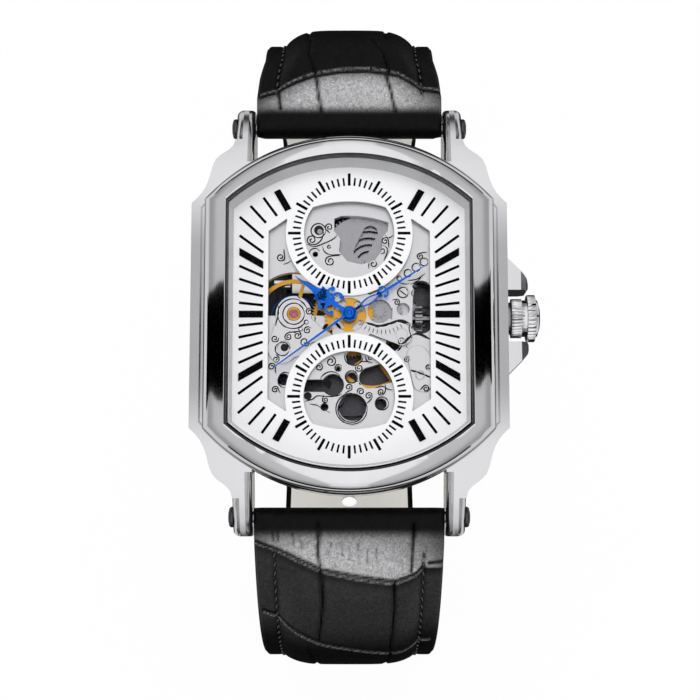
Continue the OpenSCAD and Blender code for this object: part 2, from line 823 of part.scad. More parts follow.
// Opening over the barrel, with an arched top edge
barrel_window = concat([[-1.3, 8.3], [-1.1, 9.9], [-1.9, 10.9], [-1.9, 12.5]],
    [for (x = [-1:1:5]) [x, 12.9 - 0.035 * x * x]],
    [[4.9, 11], [4.2, 10], [4.1, 8.3], [3.2, 7.1], [1.6, 6.6], [-0.2, 7]]);
// Pillars that carry the bridges, from bridge to main plate
barrel_pillars = [[-5.5, 9.2], [10.6, 5]];
train_pillars = [[-1.5, -10.7], [9.8, -6]];
cock_pillar = [-9, -6.3];
pallet_pillar = [-7.5, -3.7];
pillar_r = 0.7;
pivot_r = 0.12;
jewel_r = 0.45;
jewel_t = 0.3;

module main_plate() {
    color("lightgray")
        difference() {
            union() {
                disc(move_r, z_plate, z_dial);
                disc(0.7, z_ratchet + 0.02, z_plate + cut, crown_wheel_at);
            }
            disc(move_r - 0.5, z_plate_top, z_dial + cut);
            for (h = plate_holes)
                disc(h[1], z_plate - cut, z_plate_top + cut, h[0]);
            disc(0.75, z_plate + 0.55, z_plate_top + cut, [6.8, 0.7]);
            intersection() {
                disc(5.4, z_plate - cut, z_plate_top + cut, balance_at);
                translate([-15, 0, z_plate - 1]) cube([12, 8, 4]);
            }
            slot([-5.6, -8.9], [-2.4, -8.9], 0.8, z_plate - cut, z_plate_top + cut);
            translate([0, 0, z_plate - cut])
                linear_extrude(height = plate_t + 2 * cut) polygon(barrel_window);
            slot([2.6, -7.9], [4.9, -7.2], 1.35, z_plate - cut, z_plate_top + cut);
            slot([9.15, 3.2], [9.15, -1], 1.3, z_plate - cut, z_plate_top + cut);
            disc(0.95, z_plate - cut, z_plate_top + cut, balance_at);
            disc(jewel_r, z_plate - cut, z_plate + jewel_t, third_at);
            disc(jewel_r, z_plate - cut, z_plate + jewel_t, escape_at);
            disc(jewel_r, z_plate - cut, z_plate + jewel_t, pallet_at);
            disc(pivot_r + fit, z_plate - cut, z_plate_top + cut, third_at);
            disc(pivot_r + fit, z_plate - cut, z_plate_top + cut, escape_at);
            disc(pivot_r + fit, z_plate - cut, z_plate_top + cut, pallet_at);
            disc(cannon_out_r + fit, z_plate - cut, z_plate_top + cut);
            disc(0.6 + fit, z_plate - cut, z_plate + 0.5, barrel_at);
            disc(0.25, z_plate_top - 0.55, z_plate_top + cut, minute_wheel_at);
        }
}

// The ornamented cock that carries the balance's front jewel
lower_cock_t = 0.45;
module balance_lower_cock() {
    z = z_plate_top;
    color("lightgray")
        difference() {
            union() {
                disc(2.3, z, z + lower_cock_t, balance_at);
                slot(balance_at, [-8.4, -4.2], 1.9, z, z + lower_cock_t);
                slot(balance_at, [-3.2, -3.4], 1.15, z, z + lower_cock_t);
                slot([-8.4, -4.2], [-3.2, -3.4], 1.4, z, z + lower_cock_t);
                disc(0.9, z_plate + 0.4, z + 0.1, balance_at);
            }
            disc(0.85, z + 0.15, z + 1, balance_at);
            disc(pivot_r + fit, z_plate, z + 1, balance_at);
            disc(0.8, z - cut, z + 1, [-8.22, -4.07]);
            disc(0.5, z - cut, z + 1, [-4.4, -3.9]);
        }
}

module jewel(at, z0, z1, r) {
    difference() {
        disc(r, z0, z1, at);
        disc(pivot_r + fit, z0 - 1, z1 + 1, at);
    }
}

module jewels() {
    z = z_plate_top;
    color("crimson") {
        jewel(balance_at, z + 0.15, z + 0.45, 0.85);
        for (p = [third_at, escape_at, pallet_at])
            jewel(p, z_plate + seat, z_plate + jewel_t, jewel_r - seat);
        for (p = [third_at, escape_at])
            jewel(p, z_bridge, z_bridge + jewel_t, jewel_r - seat);
        jewel(balance_at, z_bridge, z_bridge + jewel_t, jewel_r - seat);
    }
}

// Going train
module barrel() {
    phase = heading(-barrel_at);
    color("lightgray")
        translate([barrel_at[0], barrel_at[1], 0]) {
            difference() {
                union() {
                    disc(drum_r, z_drum + 0.1, z_drum_top);
                    pinion(barrel_n, m_barrel, phase, z_drum, z_drum + 0.25);
                }
                disc(drum_r - 0.3, z_drum + 0.2, z_drum_top - 0.2);
                disc(0.62 + fit, z_drum - cut, z_drum_top + cut);
                slot([-1.1, 1.4], [0.1, 3.8], 0.95, z_drum_top - 0.4, z_drum_top + cut);
            }
        }
}

// A flat coiled ribbon: its turns lie evenly between two radii
function coil_r(r0, r1, u) = r0 + (r1 - r0) * u;
module coil(r0, r1, turns, w, z0, z1) {
    steps = ceil(turns * 24);
    zm = (z0 + z1) / 2;
    sides = [[-w / 2, z0], [0, z0], [w / 2, zm], [w / 2, z1], [0, z1], [-w / 2, zm]];
    points = [for (i = [0:steps]) let (u = i / steps, a = 360 * turns * u, r = coil_r(r0, r1, u))
        for (p = sides) [(r + p[0]) * cos(a), (r + p[0]) * sin(a), p[1]]];
    walls = [for (i = [0:steps - 1]) for (j = [0:5]) let (k = (j + 1) % 6)
        for (f = [[6 * i + j, 6 * i + k, 6 * i + 6 + k], [6 * i + j, 6 * i + 6 + k, 6 * i + 6 + j]]) f];
    n = 6 * steps;
    ends = [for (j = [1:4]) for (f = [[0, j + 1, j], [n, n + j, n + j + 1]]) f];
    polyhedron(points, concat(walls, ends));
}
// Least gap of a coil to its own next turn, measured between points one turn apart
function coil_gap(r0, r1, turns, w) = min([for (i = [0:ceil((turns - 1) * 24)]) let (
    s = ceil(turns * 24),
    p = coil_r(r0, r1, i / s) * [cos(360 * turns * i / s), sin(360 * turns * i / s)],
    j = i + 24 * s / (24 * turns),
    q = coil_r(r0, r1, j / s) * [cos(360 * turns * j / s), sin(360 * turns * j / s)]) norm(p - q)]) - w;

main_coil = [1.3, drum_r - 0.5, 5];
main_coil_w = 0.35;
module mainspring() {
    color("steelblue")
        translate([barrel_at[0], barrel_at[1], 0])
            coil(main_coil[0], main_coil[1], main_coil[2], main_coil_w, z_drum + 0.25, z_drum_top - 0.3);
}
echo(mainspring_gap = coil_gap(main_coil[0], main_coil[1], main_coil[2], main_coil_w));

module centre_wheel() {
    to_third = heading(third_at);
    to_barrel = heading(barrel_at);
    color("gold")
        difference() {
            union() {
                spoked_wheel(centre_n, m_centre, to_third + 180 / centre_n, z_centre, wheel_t, 5, 1.3);
                pinion(centre_pinion_n, m_barrel, to_barrel + 180 / centre_pinion_n,
                    z_centre + 0.05, z_drum + 0.4);
                disc(cannon_out_r, z_centre + 0.05, z_cannon);
            }
            disc(second_arbor_r + fit, z_third, z_dial);
        }
}

module third_wheel() {
    back = heading(-third_at);
    color("gold")
        translate([third_at[0], third_at[1], 0]) {
            spoked_wheel(third_n, m_third, back + 180 / third_n, z_third, wheel_t, 4, 1);
            pinion(third_pinion_n, m_centre, back, z_third + 0.05, z_centre + 0.25);
            disc(pivot_r, z_bridge + 0.05, z_plate + 0.6);
        }
}

module fourth_wheel() {
    to_third = heading(third_at);
    to_escape = heading(escape_at);
    color("gold") {
        spoked_wheel(fourth_n, m_fourth, to_escape + 180 / fourth_n, z_fourth, wheel_t, 5, 1.2);
        pinion(fourth_pinion_n, m_third, to_third, z_fourth + 0.05, z_third + 0.25);
        disc(second_arbor_r, z_bridge + 0.05, z_second);
    }
}

// The escapement
escape_n = 20;
escape_r = 2;
module escape_wheel() {
    back = heading(-escape_at);
    p = 360 / escape_n;
    color("gold")
        translate([escape_at[0], escape_at[1], 0]) {
            difference() {
                translate([0, 0, z_escape])
                    linear_extrude(height = wheel_t)
                        polygon([for (i = [0:escape_n - 1])
                            for (k = [[0, 1], [0.14, 0.98], [0.2, 0.83], [0.85, 0.8]])
                                escape_r * k[1] * [cos(p * (i + k[0])), sin(p * (i + k[0]))]]);
                disc(escape_r - 0.62, z_escape - cut, z_escape + cut);
            }
            difference() {
                union() {
                    disc(0.42, z_escape, z_escape + wheel_t);
                    for (i = [0:3])
                        rotate([0, 0, 45 + 90 * i])
                            translate([0, -0.14, z_escape]) cube([escape_r - 0.6, 0.28, wheel_t]);
                }
                disc(0.2, z_escape - cut, z_escape + cut);
            }
            disc(0.22, z_fourth, z_escape + wheel_t);
            pinion(escape_pinion_n, m_fourth, back, z_fourth - 0.1, z_fourth + 0.25);
            disc(pivot_r, z_bridge + 0.05, z_plate + 0.6);
        }
}

// Pallet fork: two arms round the escape wheel and a forked lever up to the balance's roller
roller_pin_r = 0.42;
fork_reach = norm(balance_at - pallet_at) - 0.56;
module pallet_fork() {
    turn = heading(lever_dir);
    stones = escape_r + 0.25;
    color("silver")
        translate([pallet_at[0], pallet_at[1], 0])
            rotate([0, 0, turn]) {
                translate([0, 0, z_escape])
                    linear_extrude(height = wheel_t) {
                        circle(r = 0.4, $fn = 36);
                        polygon([[0, -0.22], [fork_reach - 0.6, -0.12], [fork_reach - 0.35, -0.3],
                            [fork_reach, -0.3], [fork_reach, -0.14], [fork_reach - 0.25, -0.12],
                            [fork_reach - 0.25, 0.12], [fork_reach, 0.14], [fork_reach, 0.3],
                            [fork_reach - 0.35, 0.3], [fork_reach - 0.6, 0.12], [0, 0.22]]);
                        arc_band([-pallet_along, 0], pallet_along + 0.1, 0.3, -38, 38);
                        for (s = [-1, 1])
                            rotate([0, 0, 0])
                                translate([-pallet_along, 0])
                                    rotate([0, 0, s * 35])
                                        translate([stones, -0.14]) square([0.4, 0.28]);
                    }
                disc(pivot_r, z_pallet + 0.03, z_plate + 0.6);
            }
}

module pallet_bridge() {
    color("lightgray")
        difference() {
            union() {
                slot(pallet_at, pallet_pillar, 0.7, z_pallet, z_pallet + 0.15);
                disc(0.6, z_pallet, z_plate, pallet_pillar);
            }
            disc(pivot_r + fit, z_pallet - cut, z_pallet + cut, pallet_at);
        }
}

// The balance with its arms, staff, collet and roller
collet_r = 0.85;
module balance_wheel() {
    color("goldenrod")
        translate([balance_at[0], balance_at[1], 0]) {
            difference() {
                disc(balance_r, z_balance, z_balance + balance_t);
                disc(balance_r - 0.5, z_balance - cut, z_balance + cut);
            }
            difference() {
                union() {
                    disc(0.75, z_balance, z_balance + 0.2);
                    for (i = [0:2])
                        rotate([0, 0, 75 + 120 * i])
                            translate([0, -0.22, z_balance]) cube([balance_r - 0.4, 0.44, 0.18]);
                }
                disc(0.3, z_balance - cut, z_balance + cut);
            }
            disc(0.32, z_spring - 0.1, z_balance + 0.3);
            disc(collet_r, z_spring, z_spring + spring_t);
            disc(0.2, z_balance, z_escape + 0.25);
            disc(roller_pin_r + 0.06, z_escape - 0.25, z_escape - 0.1);
            rotate([0, 0, heading(-lever_dir)])
                disc(0.07, z_escape - 0.2, z_escape + wheel_t, [roller_pin_r, 0]);
            disc(pivot_r, z_bridge + 0.05, z_plate_top + 0.35);
        }
}

balance_coil = [collet_r + 0.03, collet_r + 0.03 + spring_turns * 0.515, spring_turns];
balance_coil_w = 0.08;
module balance_spring() {
    color("steelblue")
        translate([balance_at[0], balance_at[1], 0])
            rotate([0, 0, 130])
                coil(balance_coil[0], balance_coil[1], balance_coil[2], balance_coil_w, z_spring,
                    z_spring + spring_t);
}
echo(balance_spring_gap = coil_gap(balance_coil[0], balance_coil[1], balance_coil[2], balance_coil_w));

// Bridges on the back, each on its pillars
screw_r = 0.3;
bridge_r = 12.4;
winding_gap_r = 3;
module balance_cock() {
    color("lightgray")
        difference() {
            union() {
                disc(1.5, z_bridge, z_bridge + cock_t, balance_at);
                slot(balance_at, cock_pillar, 1.05, z_bridge, z_bridge + cock_t);
                disc(1.5, z_bridge, z_bridge + cock_t, cock_pillar);
                disc(pillar_r, z_bridge + cock_t - 0.1, z_plate, cock_pillar);
            }
            disc(jewel_r, z_bridge - cut, z_bridge + jewel_t, balance_at);
            disc(pivot_r + fit, z_bridge - cut, z_plate, balance_at);
            disc(screw_r + seat, z_bridge - cut, z_bridge + 1.3, cock_pillar);
        }
}

module bridge_plate(outline, pillars) {
    intersection() {
        disc(bridge_r, z_bridge, z_bridge_top);
        translate([0, 0, z_bridge - 1]) linear_extrude(height = 4) polygon(outline);
    }
    for (p = pillars)
        disc(pillar_r, z_bridge, z_plate, p);
}

module barrel_bridge() {
    color("lightgray")
        difference() {
            bridge_plate([[-8.5, 12.5], [-8.5, 8.2], [-4.5, 6], [-3, 1.8], [12.5, 1.8], [12.5, 12.5]],
                barrel_pillars);
            disc(balance_r + 0.3, z_bridge - cut, z_bridge_top + cut, balance_at);
            disc(winding_gap_r, z_bridge - cut, z_bridge_top + cut, crown_wheel_at);
            disc(0.62 + fit, z_bridge - cut, z_bridge_top + cut, barrel_at);
            disc(1.7, z_bridge - cut, z_bridge_top + cut);
            for (p = barrel_pillars)
                disc(screw_r + seat, z_bridge - cut, z_bridge + 1.3, p);
        }
}

module train_bridge() {
    color("lightgray")
        difference() {
            bridge_plate([[-3, 1.5], [12.5, 1.5], [12.5, -12.5], [-3.5, -12.5], [-2.2, -8], [-5.6, -5.6],
                [-5.2, -4.2], [-3, -1.5]], train_pillars);
            disc(winding_gap_r, z_bridge - cut, z_bridge_top + cut, crown_wheel_at);
            slot(crown_wheel_at, crown_wheel_at + [3.1, 0], 1, z_bridge - cut, z_bridge_top + cut);
            disc(second_arbor_r + fit, z_bridge - cut, z_bridge_top + cut);
            for (p = [third_at, escape_at]) {
                disc(jewel_r, z_bridge - cut, z_bridge + jewel_t, p);
                disc(pivot_r + fit, z_bridge - cut, z_bridge_top + cut, p);
            }
            for (p = train_pillars)
                disc(screw_r + seat, z_bridge - cut, z_bridge + 1.3, p);
        }
}

module bridge_screws() {
    color("steelblue")
        for (p = concat(barrel_pillars, train_pillars, [cock_pillar]))
            difference() {
                union() {
                    disc(0.75, z_bridge - 0.25, z_bridge, p);
                    disc(screw_r, z_bridge - 0.1, z_bridge + 1.2, p);
                }
                translate([p[0] - 1, p[1] - 0.08, z_bridge - 0.3]) cube([2, 0.16, 0.15]);
            }
}

// Winding work: the crown wheel drives the ratchet wheel, which turns the barrel arbor
module ratchet_wheel() {
    back = heading(crown_wheel_at - barrel_at);
    color("silver")
        translate([barrel_at[0], barrel_at[1], 0])
            difference() {
                union() {
                    pinion(ratchet_n, m_ratchet, back, z_ratchet, z_ratchet + ratchet_t);
                    disc(0.62, z_ratchet, z_plate + 0.4);
                }
                translate([-0.5, -0.08, z_ratchet - cut]) cube([1, 0.16, cut + 0.1]);
            }
}

module crown_wheel() {
    to_ratchet = heading(barrel_at - crown_wheel_at);
    top = crown_z - winding_r - 0.03;
    color("silver")
        translate([crown_wheel_at[0], crown_wheel_at[1], 0])
            difference() {
                union() {
                    pinion(crown_wheel_n, m_ratchet, to_ratchet + 180 / crown_wheel_n, z_ratchet,
                        z_ratchet + ratchet_t);
                    disc(contrate_r + 0.25, z_ratchet, top - 0.3);
                    for (i = [0:contrate_n - 1])
                        rotate([0, 0, (i + 0.5) * 360 / contrate_n])
                            translate([contrate_r - 0.25, -0.12, top - 0.35]) cube([0.48, 0.24, 0.35]);
                }
                disc(0.7 + fit, z_ratchet - cut, top + cut);
                difference() {
                    disc(contrate_r - 0.25, z_ratchet + ratchet_t, top + cut);
                    disc(1.1, z_ratchet, top + cut);
                }
            }
}

click_at = barrel_at + 6.3 * [cos(160), sin(160)];
module click() {
    color("gray") {
        disc(0.6, z_ratchet, z_bridge, click_at);
        translate([click_at[0], click_at[1], z_ratchet])
            linear_extrude(height = ratchet_t)
                polygon([[-0.5, -0.2], [0.3, -0.5], [1.05, -1.5], [0.75, -1.6], [-0.3, -0.5]]);
    }
}

// The rotor: half a disc with a heavy rim, on a bearing at the centre of the movement
bearing_r = 1.1;
module rotor() {
    rim = rotor_r - 1.9;
    color("silver")
        difference() {
            union() {
                disc(rotor_r, z_rotor, z_rotor + rotor_t);
                difference() {
                    disc(rotor_r, z_rotor, z_fourth - 0.3);
                    disc(rim, z_rotor - cut, z_bridge_top + 1);
                }
            }
            difference() {
                translate([-20, -1.2, z_rotor - 1]) cube([40, 40, 6]);
                disc(2.6, z_rotor, z_rotor + rotor_t);
            }
            disc(bearing_r + fit, z_rotor - cut, z_rotor + cut);
            for (a = [-150, -90, -30])
                slot(7.6 * [cos(a - 16), sin(a - 16)], 7.6 * [cos(a + 16), sin(a + 16)], 1.5, z_rotor - cut,
                    z_rotor + cut);
        }
}

module rotor_bearing() {
    color("gray") {
        disc(bearing_r, z_rotor - 0.1, z_bridge);
        disc(bearing_r + 0.4, z_rotor - 0.15, z_rotor - 0.04);
        disc(bearing_r + 0.4, z_rotor + rotor_t + 0.06, z_bridge);
    }
}

// Strap bars held by screws from both sides
module lug_bars() {
    x = lug_in + 1.3;
    color("gray")
        at_lugs()
            difference() {
                along_x(bar_r, -x, x, bar_y, bar_z);
                along_x(0.45, -x - cut, x + cut, bar_y, bar_z);
            }
}

module lug_screws() {
    x = lug_out;
    color("gray")
        at_lugs()
            for (s = [-1, 1])
                scale([s, 1, 1])
                    translate([0, bar_y, bar_z])
                        rotate([0, 90, 0])
                            rotate_extrude($fn = 60)
                                polygon([[0, x - 4], [0.43, x - 4], [0.43, x], [1.3, x], [1.3, x + 0.3],
                                    [1.15, x + 0.5], [0.7, x + 0.62], [0, x + 0.66]]);
}

// The strap follows a path in the plane of Y and Z. Headings are degrees below the +Y direction.
floor_z = -stand_h;
root_12 = 5;
root_6 = 6;
down = 94;
roll_12 = 10;
roll_6 = 14;
foot_12_z = floor_z + 2.55;
foot_6_z = floor_z + 1.3;
function leg_l(h0, bend, roll, z1) = (bar_z - 3 * sin(h0) - bend * (cos(h0) - cos(down))
    - roll * (cos(down) + 1) - z1) / sin(down);
function pieces(h0, bend, roll, z1, foot) = [[3, 0], [bend * (down - h0) * PI / 180, down - h0],
    [leg_l(h0, bend, roll, z1), 0], [roll * (180 - down) * PI / 180, 180 - down], [foot, 0]];
function step(p, s) = let (r = p[4] == 0 ? 0 : p[3] * 180 / (PI * p[4]), h = p[2] + p[4] * s / p[3])
    p[4] == 0 ? [p[0] + s * cos(h), p[1] - s * sin(h), h]
    : [p[0] + r * (sin(h) - sin(p[2])), p[1] - r * (cos(p[2]) - cos(h)), h];
function walk(l, p, i = 0) = i == len(l) ? [] :
    let (here = [p[0], p[1], p[2], l[i][0], l[i][1]]) concat([here], walk(l, step(here, l[i][0]), i + 1));
function place(w, s, i = 0) = i == len(w) - 1 || s <= w[i][3] ? step(w[i], s) : place(w, s - w[i][3], i + 1);

path_12 = walk(pieces(root_12, bend_12, roll_12, foot_12_z, foot_12), [bar_y, bar_z, root_12]);
path_6 = walk(pieces(root_6, bend_6, roll_6, foot_6_z, foot_6), [bar_y, bar_z, root_6]);
function total(w, i = 0) = i == len(w) ? 0 : w[i][3] + total(w, i + 1);
len_12 = total(path_12);
len_6 = total(path_6);

strap_hw = lug_in - 0.2;
end_hw = strap_end_w / 2;
mid_hw = (strap_hw + end_hw) / 2;
mid_t = 0.6 * pad_t;
thin_t = 1.3;
loop_r = 1.4;
// Half width, outside thickness, lining thickness and edge thickness along the strap
function half_w(s, l) = lookup(s, [[0, strap_hw], [10, strap_hw - 0.1], [27, mid_hw], [48, mid_hw],
    [l - 14, end_hw], [l, end_hw]]);
function out_t(s, l) = lookup(s, [[0, root_r], [1.5, root_r + 0.1], [5, pad_t - 0.75], [9, pad_t],
    [16, pad_t - 0.15], [27, mid_t], [48, mid_t], [l - 15, thin_t + 0.05], [l - 13, thin_t], [l, thin_t]]);
function in_t(s, l) = lookup(s, [[0, root_r], [3, lining_t + 0.05], [6, lining_t], [48, lining_t - 0.15],
    [l - 14, 1.1], [l, 1.1]]);
function edge_t(s, l) = lookup(s, [[0, root_r - 0.1], [4, 1.15], [9, 1.05], [l, 0.85]]);

// One cross-section of the strap as [x, height] pairs
function section(w, tu, tl, e) = let (k = w / 12, d = tu - e,
    side = [[w, e - 0.2], [w - 0.3 * k, e], [w - 2.4 * k, e], [w - 3 * k, e + 0.55 * d],
        [w - 4.6 * k, e + 0.85 * d], [0.45 * w, e + 0.97 * d]])
    concat([[-w, -tl + 0.25], [-w + 0.35 * k, -tl], [w - 0.35 * k, -tl], [w, -tl + 0.25]],
        side, [[0, tu]], flip_x(side));

module strap_solid(path, sections) {
    rings = [for (q = sections) let (p = place(path, q[0]), n = [sin(p[2]), cos(p[2])])
        [for (v = section(q[1], q[2], q[3], q[4])) [v[0], p[0] + v[1] * n[0], p[1] + v[1] * n[1]]]];
    m = len(rings[0]);
    last = len(rings) - 1;
    mids = [for (i = [0, last]) let (p = place(path, sections[i][0])) [0, p[0], p[1]]];
    walls = [for (i = [0:last - 1]) for (j = [0:m - 1]) let (k = (j + 1) % m)
        for (f = [[m * i + j, m * i + k, m * i + m + k], [m * i + j, m * i + m + k, m * i + m + j]]) f];
    caps = [for (j = [0:m - 1]) let (k = (j + 1) % m)
        for (f = [[m * (last + 1), k, j], [m * (last + 1) + 1, m * last + j, m * last + k]]) f];
    polyhedron(concat([for (r = rings) for (v = r) v], mids), concat(walls, caps));
}

function round_h(r, d) = sqrt(r * r - d * d);
root_rings = [for (d = [-0.985, -0.9, -0.7, -0.4]) let (h = round_h(root_r, d * root_r))
    [d * root_r, strap_hw, h, h, h]];
function ring(s, l) = [s, half_w(s, l), out_t(s, l), in_t(s, l), edge_t(s, l)];

module on_path(path, s) {
    p = place(path, s);
    translate([0, p[0], p[1]]) rotate([-p[2], 0, 0]) children();
}

module strap_12() {
    l = len_12;
    body = [for (s = [0, 1.5, 3, 5, 7, 9, 12, 16, 20, 24, 27, 34, 41, 48, 51, 54, 57, 60]) ring(s, l)];
    tail = [for (s = [l - 14, l - 13, l - 6]) ring(s, l)];
    loop = [for (d = [-2.2, -1.2, -0.4, 0, 0.4, 0.7, 0.9, 0.985])
        let (h = d < 0 ? thin_t + (loop_r - thin_t) * (1 + d / 2.2) : round_h(loop_r, d * loop_r))
            [l + (d < 0 ? d : d * loop_r), end_hw - 0.2, h, d < 0 ? max(1.1, h) : h, d < 0 ? 1 : h]];
    end = place(path_12, l);
    color([0.09, 0.09, 0.09])
        difference() {
            strap_solid(path_12, concat(root_rings, body, tail, loop));
            along_x(bar_r + fit, -20, 20, bar_y, bar_z);
            along_x(buckle_bar_r + fit, -20, 20, end[0], end[1]);
            translate([-1.7, end[0] - 3, end[1] - 3]) cube([3.4, 6.2, 6]);
        }
}

module strap_6() {
    l = len_6;
    base = [0, 1.5, 3, 5, 7, 9, 12, 16, 20, 24, 28, 33, 38, 43, 48, 51, 54, 57, 60, 63, 66, 69, 72];
    body = [for (s = concat(base, [l - 15, l - 12, l - 9])) ring(s, l)];
    tip = [for (d = [0.25, 0.45, 0.62, 0.76, 0.87, 0.95, 0.99])
        [l - 9 + 9 * d, end_hw * sqrt(1 - d * d), thin_t, 1.1 - 0.2 * d, 0.85]];
    color([0.09, 0.09, 0.09])
        mirror([0, 1, 0])
            difference() {
                strap_solid(path_6, concat(root_rings, body, tip));
                along_x(bar_r + fit, -20, 20, bar_y, bar_z);
                for (i = [0:5])
                    on_path(path_6, l - 16 - hole_pitch * i)
                        for (x = [-0.45, 0.45])
                            translate([0, x, -4]) cylinder(r = 0.85, h = 8, $fn = 24);
            }
}

// A keeper: a flat loop of leather round the strap, in the frame of the path
module keeper(w, tu, tl, gap) {
    t = 0.8;
    color([0.11, 0.11, 0.11])
        translate([0, -keeper_w / 2, 0])
            difference() {
                translate([-w - gap - t, 0, -tl - gap - t])
                    cube([2 * (w + gap + t), keeper_w, tu + tl + 2 * (gap + t)]);
                translate([-w - gap, -1, -tl - gap]) cube([2 * (w + gap), keeper_w + 2, tu + tl + 2 * gap]);
            }
}

fixed_at = len_12 - 9.5;
module fixed_keeper() {
    on_path(path_12, fixed_at) keeper(end_hw, thin_t, 1.1, fit);
}

free_at = 38;
module free_keeper() {
    on_path(path_12, free_at) keeper(mid_hw, mid_t, lining_t, 0.12);
}

// The buckle: a frame on a bar, and a tang that rests on the frame's front rail
buckle_at = place(path_12, len_12);
buckle_bar_r = 0.6;
buckle_l = 11.2;
rail_r = 0.95;
rail_z = floor_z + rail_r;
arm_w = 1.7;
arm_x = [end_hw + 0.35, end_hw + 0.35 + arm_w];
module rod_x(a, b, r, x0, x1) {
    rotate([90, 0, 90]) slot(a, b, r, x0, x1);
}

module buckle_bar() {
    color("gray") along_x(buckle_bar_r, -arm_x[1] + 0.3, arm_x[1] - 0.3, buckle_at[0], buckle_at[1]);
}

module buckle_frame() {
    y = buckle_at[0];
    z = buckle_at[1];
    front = [y - buckle_l, rail_z];
    color("silver")
        difference() {
            union() {
                for (x = [-arm_x[1], arm_x[0]])
                    translate([x, 0, 0])
                        rotate([90, 0, 90])
                            linear_extrude(height = arm_w)
                                polygon(concat(arc([y, z], 1.05, -90, 95, 9), arc(front, rail_r, 95, 270, 9)));
                along_x(rail_r - 0.02, -arm_x[0] - 0.5, arm_x[0] + 0.5, front[0], front[1]);
            }
            along_x(buckle_bar_r + seat, -arm_x[1] + 0.3, arm_x[1] - 0.3, y, z);
        }
}

module buckle_tang() {
    y = buckle_at[0];
    z = buckle_at[1];
    tip = [y - buckle_l - 0.9, rail_z + rail_r + 0.55];
    color("silver")
        difference() {
            union() {
                along_x(1.1, -1.4, 1.4, y, z);
                rod_x([y, z + 0.52], [y - 3.2, z + 0.42], 0.5, -0.95, 0.95);
                rod_x([y - 3.1, z + 0.42], tip, 0.42, -0.8, 0.8);
            }
            along_x(buckle_bar_r + fit, -2, 2, y, z);
        }
}

case_middle();
bezel();
crystal();
crystal_gasket();
inner_ring();
case_back();
back_crystal();
case_back_gasket();
case_back_screws();
crown_tube();
crown_gasket();
crown();
winding_stem();
winding_pinion();
movement_ring();
dial();
hour_batons();
hour_hand();
minute_hand();
second_hand();
hand_cap();
cannon_pinion();
minute_wheel();
hour_wheel();
motion_cover();
keyless_cover();
main_plate();
balance_lower_cock();
jewels();
barrel();
mainspring();
centre_wheel();
third_wheel();
fourth_wheel();
escape_wheel();
pallet_fork();
pallet_bridge();
balance_wheel();
balance_spring();
balance_cock();
barrel_bridge();
train_bridge();
bridge_screws();
ratchet_wheel();
crown_wheel();
click();
rotor();
rotor_bearing();
lug_bars();
lug_screws();
strap_12();
strap_6();
fixed_keeper();
free_keeper();
buckle_bar();
buckle_frame();
buckle_tang();
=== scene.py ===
import math
import bpy
import numpy as np
from mathutils import Matrix, Vector
from mathutils.bvhtree import BVHTree


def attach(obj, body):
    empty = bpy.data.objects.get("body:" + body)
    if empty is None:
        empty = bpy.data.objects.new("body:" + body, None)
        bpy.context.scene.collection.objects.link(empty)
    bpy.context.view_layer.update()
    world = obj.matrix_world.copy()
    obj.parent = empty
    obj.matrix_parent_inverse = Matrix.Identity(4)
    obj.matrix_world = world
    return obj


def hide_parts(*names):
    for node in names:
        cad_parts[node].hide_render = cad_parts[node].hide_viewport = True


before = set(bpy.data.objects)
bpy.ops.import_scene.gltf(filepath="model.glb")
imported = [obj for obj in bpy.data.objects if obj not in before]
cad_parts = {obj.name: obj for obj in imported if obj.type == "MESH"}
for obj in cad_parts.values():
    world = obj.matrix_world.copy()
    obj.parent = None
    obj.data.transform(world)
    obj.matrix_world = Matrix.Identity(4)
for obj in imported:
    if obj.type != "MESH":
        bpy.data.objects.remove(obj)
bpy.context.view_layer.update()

# Studio. A white sweep stands for the paper background. The camera is above the dial and leans
# about eight degrees towards six o'clock, as in the photograph.
MM = 0.001
DIAL_Z = 8.2
FLOOR_Z = -49.5
SIDEWAYS, LOWER = 0.1, 4.5
CAMERA_AWAY, SENSOR, LENS = 0.2, 36, 81.9
tilt = math.radians(7.9)
up = Vector((0, math.cos(tilt), math.sin(tilt)))
toward = Vector((0, -math.sin(tilt), math.cos(tilt)))
aim = Vector((SIDEWAYS, 0, DIAL_Z)) * MM - up * LOWER * MM
bpy.ops.object.select_all(action="DESELECT")
bpy.ops.object.camera_add(location=aim + toward * CAMERA_AWAY, rotation=(tilt, 0, 0))
camera = bpy.context.object
camera.data.sensor_width = SENSOR
camera.data.lens = LENS
camera.data.clip_start = 0.01
bpy.context.scene.camera = camera


def paint(code):
    """An sRGB hex colour as the linear values that shaders take."""
    parts = [int(code[i:i + 2], 16) / 255 for i in (1, 3, 5)]
    return tuple(c / 12.92 if c <= 0.04045 else ((c + 0.055) / 1.055) ** 2.4 for c in parts) + (1.0,)


def add(mat, kind, settings=None, inputs=None):
    """A node with its settings, its values and its links."""
    n = mat.node_tree.nodes.new("ShaderNode" + kind)
    for key, value in (settings or {}).items():
        setattr(n, key, value)
    for key, value in (inputs or {}).items():
        if isinstance(value, bpy.types.NodeSocket):
            mat.node_tree.links.new(value, n.inputs[key])
        else:
            n.inputs[key].default_value = value
    return n


def blank(name):
    """A material with only its output node."""
    mat = bpy.data.materials.new(name)
    mat.use_nodes = True
    mat.node_tree.nodes.clear()
    add(mat, "OutputMaterial")
    return mat


def surface(mat, socket):
    """The shader that a material shows."""
    out = next(n for n in mat.node_tree.nodes if n.bl_idname == "ShaderNodeOutputMaterial")
    mat.node_tree.links.new(socket, out.inputs["Surface"])


